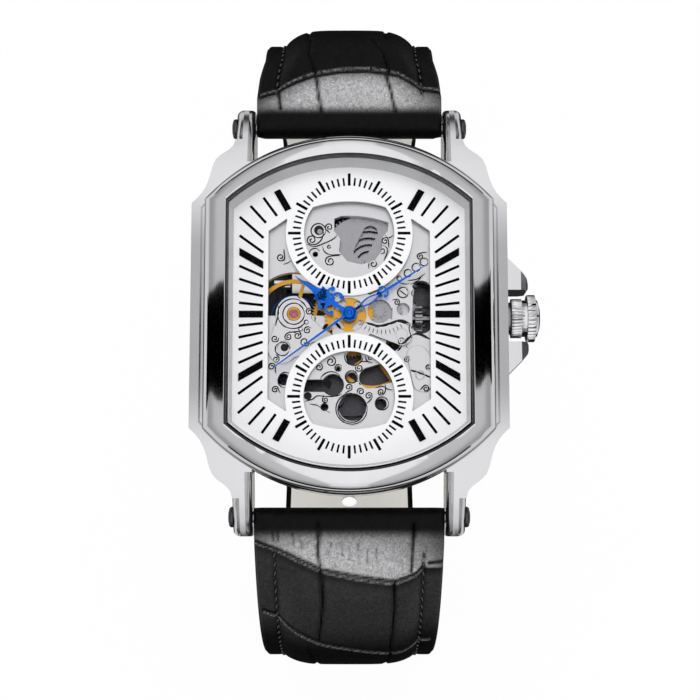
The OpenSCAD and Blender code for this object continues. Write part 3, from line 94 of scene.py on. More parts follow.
def seen(mat):
    """1 for rays that look at the background: straight, in a reflection or through glass."""
    path = add(mat, "LightPath")
    one = add(mat, "Math", {"operation": "MAXIMUM"},
              {0: path.outputs["Is Camera Ray"], 1: path.outputs["Is Glossy Ray"]})
    return add(mat, "Math", {"operation": "MAXIMUM"},
               {0: one.outputs[0], 1: path.outputs["Is Transmission Ray"]}).outputs[0]


# White paper. It glows where it is looked at, so that it shows as white, and is plain lit paper
# close under the watch. Seen through both glasses it is painted dark grey, as painted shade.
SHADOW_Y, SHADOW_IN, SHADOW_OUT = 8.7, 12, 22
ONE_GLASS = 2.5
paper = blank("white_paper")
lit = add(paper, "BsdfDiffuse", None, {"Color": paint("#f4f4f4")})
glow = add(paper, "Emission", None, {"Color": paint("#ffffff"), "Strength": 1.0})
centred = add(paper, "Mapping", None,
              {"Vector": add(paper, "TexCoord").outputs["Object"],
               "Location": (0, -SHADOW_Y * MM, -FLOOR_Z * MM)})
radius = add(paper, "VectorMath", {"operation": "LENGTH"}, {0: centred.outputs[0]})
open_floor = add(paper, "MapRange", {"interpolation_type": "SMOOTHSTEP"},
                 {0: radius.outputs["Value"], 1: SHADOW_IN * MM, 2: SHADOW_OUT * MM, 3: 0.1, 4: 0.96})
share = add(paper, "Math", {"operation": "MULTIPLY"},
            {0: seen(paper), 1: open_floor.outputs[0]})
# Painted shade: rays that have passed both glasses see the paper dark grey.
behind = add(paper, "Math", {"operation": "GREATER_THAN"},
             {0: add(paper, "LightPath").outputs["Transparent Depth"], 1: ONE_GLASS})
bare = add(paper, "MixShader", None,
           {0: share.outputs[0], 1: lit.outputs[0], 2: glow.outputs[0]})
painted_depth_shade = add(paper, "BsdfDiffuse", None, {"Color": paint("#2a2a2a")})
surface(paper, add(paper, "MixShader", None,
                   {0: behind.outputs[0], 1: bare.outputs[0], 2: painted_depth_shade.outputs[0]}).outputs[0])
bpy.ops.mesh.primitive_plane_add(size=4, location=(0, 0, FLOOR_Z * MM - 0.0001))
floor = bpy.context.object
floor.name = "paper_floor"
floor.data.materials.append(paper)

world = bpy.data.worlds.new("studio")
bpy.context.scene.world = world
world.use_nodes = True
world.node_tree.nodes.clear()
world_end = add(world, "OutputWorld")
power = add(world, "MapRange", None, {0: seen(world), 3: 0.6, 4: 1.0})
backdrop = add(world, "Background", None,
               {"Color": paint("#ffffff"), "Strength": power.outputs[0]})
world.node_tree.links.new(backdrop.outputs[0], world_end.inputs["Surface"])
bpy.context.scene.view_settings.view_transform = "Standard"


def softbox(name, place, size, watts):
    """A softbox that lights the paper and the leather. The cards below stand for it in metal."""
    spot = Vector(place)
    bpy.ops.object.light_add(type="AREA", location=spot)
    lamp = bpy.context.object
    lamp.name = name
    lamp.data.shape = "RECTANGLE"
    lamp.data.size, lamp.data.size_y = size
    lamp.data.energy = watts
    lamp.visible_glossy = False
    lamp.rotation_euler = (-spot).to_track_quat("-Z", "Y").to_euler()


softbox("top_softbox", (0.0, 0.25, 0.6), (0.5, 0.35), 1.9)
softbox("left_softbox", (-0.6, -0.1, 0.35), (0.3, 0.5), 0.9)
softbox("right_softbox", (0.6, -0.1, 0.35), (0.3, 0.5), 0.8)


def card(name, place, ramps):
    """A studio card that only reflections show. Its light is the product of its ramps, each given
    by axis as stops of metres and strength, and a card with no ramp is black."""
    bpy.ops.object.select_all(action="DESELECT")
    bpy.ops.mesh.primitive_grid_add(x_subdivisions=48, y_subdivisions=1, size=2)
    sheet = bpy.context.object
    sheet.name = name
    for v in sheet.data.vertices:
        v.co = place((v.co.x + 1) / 2, (v.co.y + 1) / 2)
    mat = blank(name + "_card")
    where = add(mat, "TexCoord")
    axes = add(mat, "SeparateXYZ", None, {0: where.outputs["Object"]})
    level = 1.0 if ramps else 0.0
    for axis, stops in ramps.items():
        low, high = stops[0][0], stops[-1][0]
        span = add(mat, "MapRange", None, {0: axes.outputs[axis], 1: low, 2: high})
        ramp = add(mat, "ValToRGB", None, {0: span.outputs[0]})
        ramp.color_ramp.interpolation = "EASE"
        while len(ramp.color_ramp.elements) < len(stops):
            ramp.color_ramp.elements.new(0.5)
        for stop, (spot, value) in zip(ramp.color_ramp.elements, stops):
            stop.position = (spot - low) / (high - low)
            stop.color = (value / 2, value / 2, value / 2, 1)
        doubled = add(mat, "Math", {"operation": "MULTIPLY"}, {0: ramp.outputs[0], 1: 2.0})
        level = add(mat, "Math", {"operation": "MULTIPLY"},
                    {0: doubled.outputs[0], 1: level}).outputs[0]
    surface(mat, add(mat, "Emission", None, {"Strength": level}).outputs[0])
    sheet.data.materials.append(mat)
    for way in ("visible_camera", "visible_diffuse", "visible_shadow", "visible_transmission"):
        setattr(sheet, way, False)


# Reflections. One large panel overhead fades towards both sides. The side walls are light at their
# foot and grey above, those at six and twelve o'clock are dark at their foot, and so is the table
# under the watch.
ROOM, LID, WALL_FOOT, WALL_RISE = 1.2, 0.75, -0.05, 0.8
TABLE, TABLE_ABOVE = 0.3, 0.0005
ACROSS = [(-1.2, 0.42), (-0.3, 0.6), (-0.17, 0.62), (-0.125, 0.95), (0.0, 1.0),
          (0.125, 0.95), (0.17, 0.62), (0.3, 0.6), (1.2, 0.42)]
OVERHEAD = [(-1.2, 1.3), (-0.6, 1.45), (-0.28, 1.45), (-0.1, 1.45), (0.0, 1.45), (0.35, 1.45),
            (0.7, 1.4), (1.2, 1.3)]
SIDE_WALL = [(-0.05, 1.0), (0.1, 0.9), (0.25, 0.55), (0.75, 0.58)]
END_WALL = [(-0.05, 0.02), (0.12, 0.03), (0.3, 0.8), (0.6, 1.3), (0.75, 1.3)]
UNDER = [(-0.3, 1.1), (-0.1, 1.0), (-0.05, 0.03), (0.05, 0.03), (0.1, 1.0), (0.3, 1.1)]
card("ceiling", lambda u, v: (ROOM * (2 * u - 1), ROOM * (2 * v - 1), LID),
     {"Y": OVERHEAD, "X": ACROSS})
for name, side in (("left_wall", -1), ("right_wall", 1)):
    card(name, lambda u, v: (side * ROOM, ROOM * (2 * u - 1), WALL_FOOT + WALL_RISE * v),
         {"Z": SIDE_WALL})
for name, side in (("front_wall", -1), ("back_wall", 1)):
    card(name, lambda u, v: (ROOM * (2 * u - 1), side * ROOM, WALL_FOOT + WALL_RISE * v),
         {"Z": END_WALL, "X": ACROSS})
card("table", lambda u, v: (TABLE * (2 * u - 1), TABLE * (2 * v - 1), FLOOR_Z * MM + TABLE_ABOVE),
     {"X": UNDER})
FLAG_R, FLAG_FROM, FLAG_SWEEP = 0.42, 13, 100


def flag(name, side, low, high):
    """A black strip bent round the watch, whose ends are cut aslant, seen in the bezel's flanks.
    Low and high place its two ends in millimetres along Y, each at its top and at its foot."""
    def place(u, v):
        a = math.radians(FLAG_FROM + FLAG_SWEEP * u)
        y = (low[0] + (low[1] - low[0]) * u) * (1 - v) + (high[0] + (high[1] - high[0]) * u) * v
        return (side * FLAG_R * math.sin(a), y * MM, FLAG_R * math.cos(a))
    card(name, place, {})


flag("left_flag", -1, (29, 28), (79, 70))
flag("right_flag", 1, (34, 39), (75, 83))


# Case middle. Stainless steel milled from one block and polished: flanks, ogee shoulders and
# four lugs. The solid is kept, with its edges broken and its curves shaded smooth.
WELD, FLAT = 0.002, 0.4


def fresh(name, data):
    """A new piece in the scene, the only one selected."""
    piece = bpy.data.objects.new(name, data)
    bpy.context.scene.collection.objects.link(piece)
    bpy.ops.object.select_all(action="DESELECT")
    piece.select_set(True)
    bpy.context.view_layer.objects.active = piece
    return piece


def refined(name, body, edge, angle=28, segments=2):
    """A finished copy of a solid: welded, its flats cleaned, its edges rounded."""
    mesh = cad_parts[name].data.copy()
    mesh.materials.clear()
    piece = fresh(name + "_finished", mesh)
    bpy.ops.object.mode_set(mode="EDIT")
    bpy.ops.mesh.select_all(action="SELECT")
    bpy.ops.mesh.remove_doubles(threshold=WELD * MM)
    bpy.ops.mesh.dissolve_limited(angle_limit=math.radians(FLAT))
    bpy.ops.object.mode_set(mode="OBJECT")
    round_over = piece.modifiers.new("edge", "BEVEL")
    round_over.width = edge * MM
    round_over.segments = segments
    round_over.limit_method = "ANGLE"
    round_over.angle_limit = math.radians(angle)
    bpy.ops.object.modifier_apply(modifier="edge")
    bpy.ops.object.shade_smooth_by_angle(angle=math.radians(angle))
    flats = piece.modifiers.new("flats", "WEIGHTED_NORMAL")
    flats.keep_sharp = True
    bpy.ops.object.modifier_apply(modifier="flats")
    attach(piece, body)
    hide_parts(name)
    return piece


def dress(piece, mat):
    """One material on the whole piece."""
    piece.data.materials.clear()
    piece.data.materials.append(mat)


RGBA = {"data_type": "RGBA"}


def finish(name, dark, light, rough, grain_mm, grain, stretch=(1, 1, 1), **more):
    """An uneven finish: one fine noise works in the colour, the roughness and the relief."""
    mat = blank(name)
    place = add(mat, "TexCoord")
    turned = add(mat, "Mapping", None, {"Vector": place.outputs["Object"], "Scale": stretch})
    noise = add(mat, "TexNoise", None,
                {"Vector": turned.outputs[0], "Scale": 1 / (grain_mm * MM), "Detail": 3.0})
    tone = add(mat, "Mix", RGBA, {0: noise.outputs["Fac"], 6: dark, 7: light})
    gloss = add(mat, "MapRange", None,
                {0: noise.outputs["Fac"], 3: rough * 0.75, 4: rough * 1.3})
    relief = add(mat, "Bump", None,
                 {"Height": noise.outputs["Fac"], "Strength": grain, "Distance": grain_mm * MM * 0.1})
    values = {"Base Color": tone.outputs[2], "Roughness": gloss.outputs[0],
              "Normal": relief.outputs[0]}
    values.update({key.replace("_", " "): value for key, value in more.items()})
    surface(mat, add(mat, "BsdfPrincipled", None, values).outputs[0])
    return mat


def metal(name, colour, rough, grain_mm, grain, stretch=(1, 1, 1), stain=0.08):
    """A metal of one colour, darker by its stain where the grain is low."""
    light = paint(colour)
    dark = tuple(c * (1 - stain) for c in light[:3]) + (1.0,)
    return finish(name, dark, light, rough, grain_mm, grain, stretch, Metallic=1.0)


# Stainless steel, polished: bright, with the faint haze of a buffed surface. The two flanges
# beside the bezel are painted a little darker, a painted dark reflection, which fades out before the
# shoulders.
FLANGE_X, FLANGE_HALF = 18.6, 1.45
SHADE_TO, BRIGHT_FROM = 8, 17
case_steel = metal("polished_stainless_steel", "#c4c4c6", 0.15, 1.5, 0.03)
skin = case_steel.node_tree.nodes["Principled BSDF"]
bright = skin.inputs["Base Color"].links[0].from_socket
place = add(case_steel, "TexCoord")
axes = add(case_steel, "SeparateXYZ", None, {0: place.outputs["Object"]})
across = add(case_steel, "Math", {"operation": "ABSOLUTE"}, {0: axes.outputs[0]})
along = add(case_steel, "Math", {"operation": "ABSOLUTE"}, {0: axes.outputs[1]})
beside = add(case_steel, "Math", {"operation": "COMPARE"},
             {0: across.outputs[0], 1: FLANGE_X * MM, 2: FLANGE_HALF * MM})
halfway = add(case_steel, "MapRange", {"interpolation_type": "SMOOTHSTEP"},
              {0: along.outputs[0], 1: SHADE_TO * MM, 2: BRIGHT_FROM * MM, 3: 1.0, 4: 0.0})
# Painted reflection: the flanges' colour is darkened, fading out towards the lugs.
painted_flange_shade = add(case_steel, "Math", {"operation": "MULTIPLY"},
            {0: beside.outputs[0], 1: halfway.outputs[0]})
flange_shaded_tone = add(case_steel, "Mix", RGBA,
                {0: painted_flange_shade.outputs[0], 6: bright, 7: paint("#98989a")})
case_steel.node_tree.links.new(flange_shaded_tone.outputs[2], skin.inputs["Base Color"])
dress(refined("case_middle", "case", 0.35, 28, 3), case_steel)
dress(refined("case_back", "case", 0.08), case_steel)

# Bezel. A separate ring of the same steel, turned and polished to a higher shine, pressed on
# the case over its ledge.
bezel_steel = metal("mirror_stainless_steel", "#c8c8ca", 0.04, 2.0, 0.003)
dress(refined("bezel", "case", 0.1), bezel_steel)

# Crown with its tube and stem, the strap's bars, and the screws of the lugs and the case back.
# The crown's knurled bands are cut in the same polished steel, the rest is darker tool steel.
dress(refined("crown", "crown_turn", 0.04), bezel_steel)
tool_steel = metal("dark_polished_steel", "#8d8d92", 0.25, 0.4, 0.05)
dress(refined("crown_tube", "case", 0.05), tool_steel)
screw_steel = metal("dark_screw_steel", "#4c4c4f", 0.3, 0.4, 0.05)
dress(refined("lug_screws", "case", 0.05), screw_steel)


def repaint(names, mat):
    """A material for solids that keep their own mesh."""
    for name in names:
        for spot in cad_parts[name].material_slots:
            spot.material = mat


repaint(["winding_stem", "lug_bars", "case_back_screws"], tool_steel)

# Glass and gaskets. Two sapphire plates, coated against reflections, so that they hardly show.
# They are held in moulded rings of black nitrile rubber, and so is the crown.
sapphire = finish("coated_sapphire", paint("#1c2226"), paint("#242a2e"), 0.02, 3.0, 0.0,
                  IOR=1.3, Alpha=0.012)
repaint(["crystal", "back_crystal"], sapphire)
nitrile = finish("black_nitrile_rubber", paint("#0a0a0a"), paint("#181818"), 0.5, 0.1, 0.2)
repaint(["crystal_gasket", "case_back_gasket", "crown_gasket"], nitrile)

# Inner ring. The sloped grey wall between the glass and the dial, turned from steel and blasted,
# so that it shows an even grey. It lies on the dial's edge.
blasted = finish("blasted_grey_steel", paint("#bababc"), paint("#cececf"), 0.42, 0.08, 0.15,
                 Metallic=0.3)
dress(refined("inner_ring", "case", 0.03), blasted)

# Dial. A brass plate lacquered white, with the middle and two eyes cut out. Ten black batons
# are set on it for the hours.
lacquer = finish("white_dial_lacquer", paint("#f0f0f2"), paint("#f6f6f8"), 0.4, 0.05, 0.08)
dress(refined("dial", "case", 0.04), lacquer)
ink = finish("black_printing_ink", paint("#030303"), paint("#080808"), 0.55, 0.06, 0.2,
             Specular_IOR_Level=0.02)
dress(refined("hour_batons", "case", 0.02), ink)

# Crystal rim. A black band lies under the edge of the glass, and inside it a white band stands for
# the glass's bright chamfer, a painted highlight. Both are thin flat rings that follow the crystal's
# own outline.
RIM_MEAN, RIM_SWING = 0.55, 0.5
RIM_THICK, RIM_BELOW = 0.03, 0.001


def rim(name, inset, width, mat):
    """A flat band under the crystal's rim, which grows wider towards six o'clock."""
    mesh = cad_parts["crystal"].data
    low = min(v.co.z for v in mesh.vertices)
    foot = {(round(v.co.x, 6), round(v.co.y, 6)) for v in mesh.vertices if v.co.z < low + 0.1 * MM}
    outline = sorted(foot, key=lambda spot: math.atan2(spot[1], spot[0]))
    corners = ((inset, RIM_THICK), (inset + width, RIM_THICK), (inset + width, 0.0), (inset, 0.0))
    points = []
    for shift, z in corners:
        for x, y in outline:
            away = math.hypot(x, y)
            k = 1 - shift * (RIM_MEAN - RIM_SWING * y / away) * MM / away
            points.append((x * k, y * k, low - (RIM_BELOW - z) * MM))
    n = len(outline)
    faces = []
    for r in range(4):
        near, far = n * r, n * ((r + 1) % 4)
        faces += [(near + i, far + i, far + (i + 1) % n, near + (i + 1) % n) for i in range(n)]
    band = bpy.data.meshes.new(name)
    band.from_pydata(points, [], faces)
    piece = fresh(name, band)
    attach(piece, "case")
    dress(piece, mat)


rim("crystal_rim_black_band", 0.0, 0.26, ink)
# Painted highlight: the chamfer's band is white dial lacquer.
rim("crystal_chamfer_painted_highlight", 0.26, 0.12, lacquer)


# Printed ticks. Sixty stand round each ring, every fifth longer and broader, and thirty-two along
# the sides between the batons. One thin bar of ink is bevelled once and copied to each place.
def copied(piece, places):
    """The piece and its copies, each with its own mesh, moved to the places."""
    model, row = piece.data.copy(), []
    for i, spot in enumerate(places):
        twin = piece if i == 0 else bpy.data.objects.new(piece.name, model.copy())
        if i:
            bpy.context.scene.collection.objects.link(twin)
        twin.data.transform(spot)
        row.append(twin)
    return row


def joined(parts, name):
    """Several pieces made one, with its place in its mesh."""
    bpy.ops.object.select_all(action="DESELECT")
    for part in parts:
        part.select_set(True)
    bpy.context.view_layer.objects.active = parts[0]
    bpy.ops.object.transform_apply(location=True, rotation=True, scale=True)
    if len(parts) > 1:
        bpy.ops.object.join()
    whole = bpy.context.object
    whole.name = name
    whole.data.name = name
    return whole


def tick(radius, turn, length, width, middle_y=0.0):
    """The matrix that lays a unit bar on the dial, along a radius, sizes in millimetres."""
    spot = Vector((radius * math.cos(turn), middle_y + radius * math.sin(turn), DIAL_Z))
    return (Matrix.Translation(spot * MM) @ Matrix.Rotation(turn, 4, "Z")
            @ Matrix.Diagonal((length * MM, width * MM, INK_THICK * MM, 1)))


def reach(a, half_w, half_l, r):
    """How far a line from the centre at angle a runs inside a barrel-shaped contour."""
    c, s = abs(math.cos(a)), abs(math.sin(a))
    d = s * (half_l - r)
    return min(half_w / max(c, 1e-9), d + math.sqrt(d * d - (half_l - r) ** 2 + r * r))


RING_Y, RING_IN, RING_OUT, RING_LONG = 10.38, 6.14, 7.17, 7.74
THIN, BROAD, SIDE_WIDE, INK_THICK = 0.24, 0.36, 0.34, 0.02
SIDE_FROM, SIDE_TO = (10.83, 15.1, 18), (13.87, 17.95, 21.4)
places = []
for side in (1, -1):
    for i in range(60):
        outer, width = (RING_LONG, BROAD) if i % 5 == 0 else (RING_OUT, THIN)
        places.append(tick((RING_IN + outer) / 2, math.radians(6 * i), outer - RING_IN, width,
                           side * RING_Y))
for m in range(60):
    if m % 5 and 5 < m % 30 < 25:
        a = math.radians(90 - 6 * m)
        near, far = reach(a, *SIDE_FROM), reach(a, *SIDE_TO)
        places.append(tick((near + far) / 2, a, far - near, SIDE_WIDE))
bpy.ops.object.select_all(action="DESELECT")
bpy.ops.mesh.primitive_cube_add(size=1, location=(0, 0, 0.5))
bar = bpy.context.object
bpy.ops.object.mode_set(mode="EDIT")
bpy.ops.mesh.bevel(offset=0.03, segments=1)
bpy.ops.object.mode_set(mode="OBJECT")
bpy.ops.object.transform_apply(location=True)
ticks = joined(copied(bar, places), "printed_ticks")
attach(ticks, "case")
dress(ticks, ink)

# Hands. Cut from steel sheet, pierced in scrolls and leaves, polished, then blued by heat, which
# leaves a deep uneven blue. They are pressed on their pipes one above the other.
blued = metal("heat_blued_steel", "#1c66d2", 0.24, 0.3, 0.05, stain=0.35)
for name, body in (("hour_hand", "hour"), ("minute_hand", "minute"), ("second_hand", "second"),
                   ("hand_cap", "second")):
    dress(refined(name, body, 0.03, 30), blued)

# Movement plates and cocks. Nickel-plated brass, bead blasted, with bright bevelled edges. The
# bridges and the rotor behind them are painted dark grey, painted shade that makes the pierced windows look
# deep.
nickel = metal("bead_blasted_nickel_plate", "#d2d2d5", 0.36, 0.06, 0.2)
for name in ("main_plate", "motion_cover", "keyless_cover", "balance_lower_cock", "pallet_bridge"):
    dress(refined(name, "case", 0.07), nickel)
# Painted shade: dark grey stands for the depth behind the plates' windows.
painted_shade_plate = metal("brushed_dark_grey_painted_shade", "#4a4a4e", 0.3, 0.25, 0.3, (1, 0.06, 1), 0.35)
for name in ("balance_cock", "barrel_bridge", "train_bridge"):
    dress(refined(name, "case", 0.07), painted_shade_plate)
dress(refined("rotor", "rotor", 0.06), painted_shade_plate)

# Wheels, barrel, springs and jewels. Gilt brass wheels with fine brushed faces, steel that is
# brushed or blued, and synthetic rubies pressed in. The movement sits in a nylon ring.
gilt = metal("gilt_brass", "#cf9a3e", 0.3, 0.1, 0.1)
repaint(["cannon_pinion", "hour_wheel", "centre_wheel", "third_wheel", "fourth_wheel",
         "escape_wheel", "balance_wheel"], gilt)
brushed = metal("brushed_movement_steel", "#9d9da1", 0.28, 0.3, 0.35, (1, 0.08, 1), 0.25)
repaint(["barrel", "ratchet_wheel", "crown_wheel", "click", "rotor_bearing", "pallet_fork",
         "minute_wheel", "winding_pinion", "mainspring"], brushed)
repaint(["balance_spring", "bridge_screws"], blued)
ruby = blank("synthetic_ruby")
depth = add(ruby, "TexNoise", None,
            {"Vector": add(ruby, "TexCoord").outputs["Object"],
             "Scale": 1 / (0.5 * MM), "Detail": 2.0})
flame = add(ruby, "Mix", RGBA,
            {0: depth.outputs["Fac"], 6: paint("#5e0c32"), 7: paint("#b83078")})
surface(ruby, add(ruby, "BsdfPrincipled", None,
                  {"Base Color": flame.outputs[2], "Roughness": 0.06, "IOR": 1.76}).outputs[0])
repaint(["jewels"], ruby)
nylon = finish("white_nylon", paint("#8c8c8a"), paint("#a5a5a2"), 0.6, 1.5, 0.05)
repaint(["movement_ring"], nylon)

# Engraving. Scrolls and leaves are cut into the plates: each line is a low black ridge, painted
# shade, with a white ridge on its lower right, a painted highlight. A ray from above finds the
# plate that each stretch of a line lies on.
PLATES = ("main_plate", "motion_cover", "keyless_cover", "balance_lower_cock")
COVERS = ("dial", "hour_batons", "inner_ring", "hour_wheel", "minute_wheel", "cannon_pinion",
          "jewels", "crown_wheel", "barrel", "balance_wheel", "third_wheel", "fourth_wheel",
          "escape_wheel")
RAY_FROM, LOWEST_PLATE = 8.5, 6.9
trees = []
for name in PLATES + COVERS:
    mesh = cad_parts[name].data
    trees.append((name in PLATES, BVHTree.FromPolygons([v.co.copy() for v in mesh.vertices],
                                                       [tuple(f.vertices) for f in mesh.polygons])))


def plate_under(x, y):
    """The height of the plate that shows at a place, or None where something else shows."""
    best, shows = -1.0, False
    for is_plate, tree in trees:
        hit = tree.ray_cast(Vector((x, y, RAY_FROM)) * MM, Vector((0, 0, -1)))[0]
        if hit and hit.z / MM > best:
            best, shows = hit.z / MM, is_plate
    return round(best, 2) if shows and best > LOWEST_PLATE else None


SCROLL_POINTS, TURNS, EYE, GROWTH, STEP = 36, 1.35, 0.12, 0.85, 0.08
SPACING, ARC_POINTS = 0.12, 14
TAPER_FROM, TAPER_STEP, PRESSED, SHORTEST = 0.35, 0.13, 0.25, 4


def scroll(x, y, r, turn, hand, tail=0.0, bend=0.0):
    """A scroll round its eye that ends at the angle turn, then a tail that bends the other way."""
    points = []
    for i in range(SCROLL_POINTS):
        t = i / (SCROLL_POINTS - 1)
        a = math.radians(turn - hand * 360 * TURNS * (1 - t))
        d = r * (EYE + (1 - EYE) * t ** GROWTH)
        points.append((x + d * math.cos(a), y + d * math.sin(a)))
    heading, steps = math.radians(turn + hand * 90), int(tail / STEP)
    for i in range(steps):
        t = i / steps
        heading += STEP * (hand / r * (1 - t) ** 2 + bend * t)
        last_x, last_y = points[-1]
        points.append((last_x + STEP * math.cos(heading), last_y + STEP * math.sin(heading)))
    return points


def through(*marks):
    """A smooth line through marks, as a Catmull-Rom spline."""
    marks = [np.array(m, float) for m in marks]
    ends = [2 * marks[0] - marks[1]] + marks + [2 * marks[-1] - marks[-2]]
    points = []
    for a, b, c, d in zip(ends[:-3], ends[1:-2], ends[2:-1], ends[3:]):
        n = max(int(np.linalg.norm(c - b) / SPACING), 2)
        for i in range(n):
            t = i / n
            points.append(tuple(0.5 * (2 * b + (c - a) * t + (2 * a - 5 * b + 4 * c - d) * t * t
                                       + (3 * b - a - 3 * c + d) * t ** 3)))
    return points + [tuple(marks[-1])]


def around(x, y, r, start=0, end=360):
    """An arc of a circle, or the whole of it."""
    angles = np.linspace(start, end, max(int(abs(end - start) * r / 8), ARC_POINTS))
    return [(x + r * math.cos(math.radians(a)), y + r * math.sin(math.radians(a))) for a in angles]


def engraved(name, lines, offset, width, rise, mat):
    """Lines on the plates as one piece: low ridges, tapered at both ends and pressed flat."""
    runs = []
    for line in lines:
        run = []
        for x, y in line:
            z = plate_under(x + offset, y - offset)
            if run and z != run[-1][2]:
                runs.append(run)
                run = []
            if z is not None:
                run.append((x + offset, y - offset, z))
        runs.append(run)
    curve = bpy.data.curves.new(name, "CURVE")
    curve.dimensions = "3D"
    curve.bevel_depth = width * MM / 2
    curve.bevel_resolution = 0
    curve.use_fill_caps = True
    heights = set()
    for run in runs:
        if len(run) < SHORTEST:
            continue
        spline = curve.splines.new("POLY")
        spline.points.add(len(run) - 1)
        for i, (x, y, z) in enumerate(run):
            spline.points[i].co = (x * MM, y * MM, z * MM, 1)
            from_end = min(i, len(run) - 1 - i)
            spline.points[i].radius = min(1, TAPER_FROM + TAPER_STEP * from_end)
        heights.add(run[0][2])
    fresh(name, curve)
    bpy.ops.object.convert(target="MESH")
    piece = bpy.context.object
    levels = sorted(heights)
    for v in piece.data.vertices:
        z = v.co.z / MM
        level = min(levels, key=lambda each: abs(each - z))
        v.co.z = (level + rise + (z - level) * PRESSED) * MM
    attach(piece, "case")
    dress(piece, mat)


# Scrolls as eye x and y, radius, the angle they end at, hand, tail and its bend. Rings as x, y,
# radius and the angles they run between. Lines as the places they pass through.
SCROLLS = [(-2.55, 11.4, 0.5, 200, 1, 0.9, -1), (-4.75, 9.75, 0.6, 200, 1, 3.2, 0.6),
    (-2.42, 7.0, 0.62, 140, -1, 2.0, 0.8), (4.2, 8.4, 0.68, 20, -1, 1.7, 0.2),
    (2.5, 7.6, 0.36, 60, 1), (3.05, 6.65, 0.55, 150, 1, 0.9, -0.5),
    (4.55, 9.6, 0.46, 40, -1, 1.2, 1), (-8.7, 7.5, 0.52, 330, 1, 1.4, -0.8),
    (9.05, 7.6, 0.42, 150, -1, 1.3, 0.6), (8.4, 2.7, 0.52, 220, -1, 1.9, -1.0),
    (8.5, 0.5, 0.46, 120, -1, 0.9, 0.4), (-5.0, 0.45, 0.45, 100, -1, 2.1, -0.2),
    (-5.25, -1.95, 0.46, 90, -1, 0.6), (-6.5, -2.6, 0.5, 60, 1, 1.3, -1.2),
    (-7.65, -2.75, 0.44, 190, -1, 2.6, -0.15), (-9.35, -3.0, 0.46, 330, 1, 0.4),
    (-9.2, -5.6, 0.42, 20, 1, 0.7, -1), (-9.75, -6.5, 0.46, 40, -1, 1.2, 1),
    (-8.9, 2.7, 0.5, 300, -1, 1.5, 0.5), (-5.6, -3.4, 0.6, 330, 1, 0.6),
    (-2.3, -5.85, 0.62, 30, 1, 1.6, -1.0), (-3.8, -6.55, 0.48, 60, 1, 1.3, -1.2),
    (1.25, -6.65, 0.46, 220, -1, 2.9, -0.3), (2.6, -5.3, 0.56, 200, 1, 0.8, -1),
    (-0.05, -9.1, 0.44, 330, -1, 1.1, 1.4), (1.45, -9.65, 0.44, 150, 1, 0.6, -1),
    (2.45, -10.2, 0.44, 30, -1, 1.6, -0.3), (1.5, -8.55, 0.32, 60, 1, 0.9, -1),
    (4.0, -9.7, 0.4, 250, 1, 2.4, 0.1), (-3.0, -10.7, 0.36, 200, -1, 0.8, 0.8),
    (8.05, -1.55, 0.5, 130, 1, 2.0, -0.5), (6.55, -3.4, 0.48, 60, -1, 1.3, 0.7),
    (9.8, -1.8, 0.46, 60, -1, 1.0, 0.5), (7.3, -5.6, 0.36, 120, -1, 0.5),
    (10.0, -6.6, 0.36, 200, 1, 0.5), (6.0, 1.6, 0.36, 60, 1, 0.8, -1),
    (-6.2, 2.6, 0.4, 200, 1, 0.7, 0.4), (9.6, -9.3, 0.42, 100, 1, 1.0, -0.8),
    (-9.3, -9.4, 0.42, 60, -1, 1.0, 0.8)]
RINGS = [(-3.92, 10.95, 0.92), (-2.55, 8.85, 0.2), (-4.4, 7.95, 0.7, 20, 220), (7.45, 5.45, 0.48),
    (8.5, 6.2, 0.52), (6.35, 4.8, 0.3), (9.5, 6.9, 0.5), (6.78, 2.85, 0.66),
    (3.8, 0.44, 1.45, -60, 250), (-5.4, -0.9, 0.26), (-6.1, -1.8, 0.24), (-7.0, 0.16, 1.35),
    (-8.4, -4.3, 0.88), (-8.0, -8.2, 0.98, 60, 330), (-7.1, 0.16, 1.9, 20, 330),
    (-1.36, -6.65, 0.42), (0.58, -5.2, 1.15), (0.3, -7.8, 0.78), (-2.28, -8.6, 1.45),
    (4.1, -11.15, 0.82), (0.3, -11.8, 1.95), (0.3, -11.8, 1.72), (8.95, -0.95, 0.3)]
LINES = [((-8.4, 6.6), (-7.6, 6.9), (-7.0, 7.6), (-7.3, 8.6)),
    ((-5.4, 9.2), (-4.4, 8.9), (-3.2, 9.3), (-2.0, 9.9), (-1.3, 10.7)),
    ((-3.4, 8.9), (-3.1, 8.2), (-2.3, 7.8), (-1.2, 7.9)),
    ((3.6, 9.0), (4.4, 10.3), (5.0, 10.0), (5.6, 10.4)),
    ((2.0, -0.95), (2.9, -1.35), (4.4, -1.45), (5.4, -0.95), (6.2, -0.9), (7.6, -1.35)),
    ((-9.9, 4.0), (-9.2, 2.2), (-8.9, 0.4), (-9.3, -1.4)),
    ((3.2, -9.2), (4.2, -9.0), (5.0, -9.4), (6.0, -9.3)),
    ((-5.6, -10.9), (-4.6, -10.6), (-4.0, -10.2), (-2.8, -10.3), (-1.6, -10.2), (-0.9, -9.9)),
    ((-5.0, -11.2), (-4.0, -11.4), (-3.4, -11.8), (-2.4, -12.3)),
    ((7.6, -6.9), (9.0, -7.3), (10.3, -7.9)), ((7.7, -8.2), (8.2, -8.5)),
    ((9.2, 4.9), (8.2, 4.2), (7.2, 3.9), (6.2, 4.1)), ((9.6, 5.4), (8.6, 4.7), (7.4, 4.5))]
GROOVES = ([scroll(*each) for each in SCROLLS] + [around(*each) for each in RINGS]
           + [through(*each) for each in LINES])
FAN_X, FAN_Y, FAN_FROM, FAN_STEP = 4.2, 2.0, 232, 7.2
for i in range(11):
    a = math.radians(FAN_FROM + FAN_STEP * i)
    GROOVES.append([(FAN_X + d * math.cos(a), FAN_Y + d * math.sin(a))
                    for d in (3.9, 4.05, 4.2, 4.35, 4.5)])
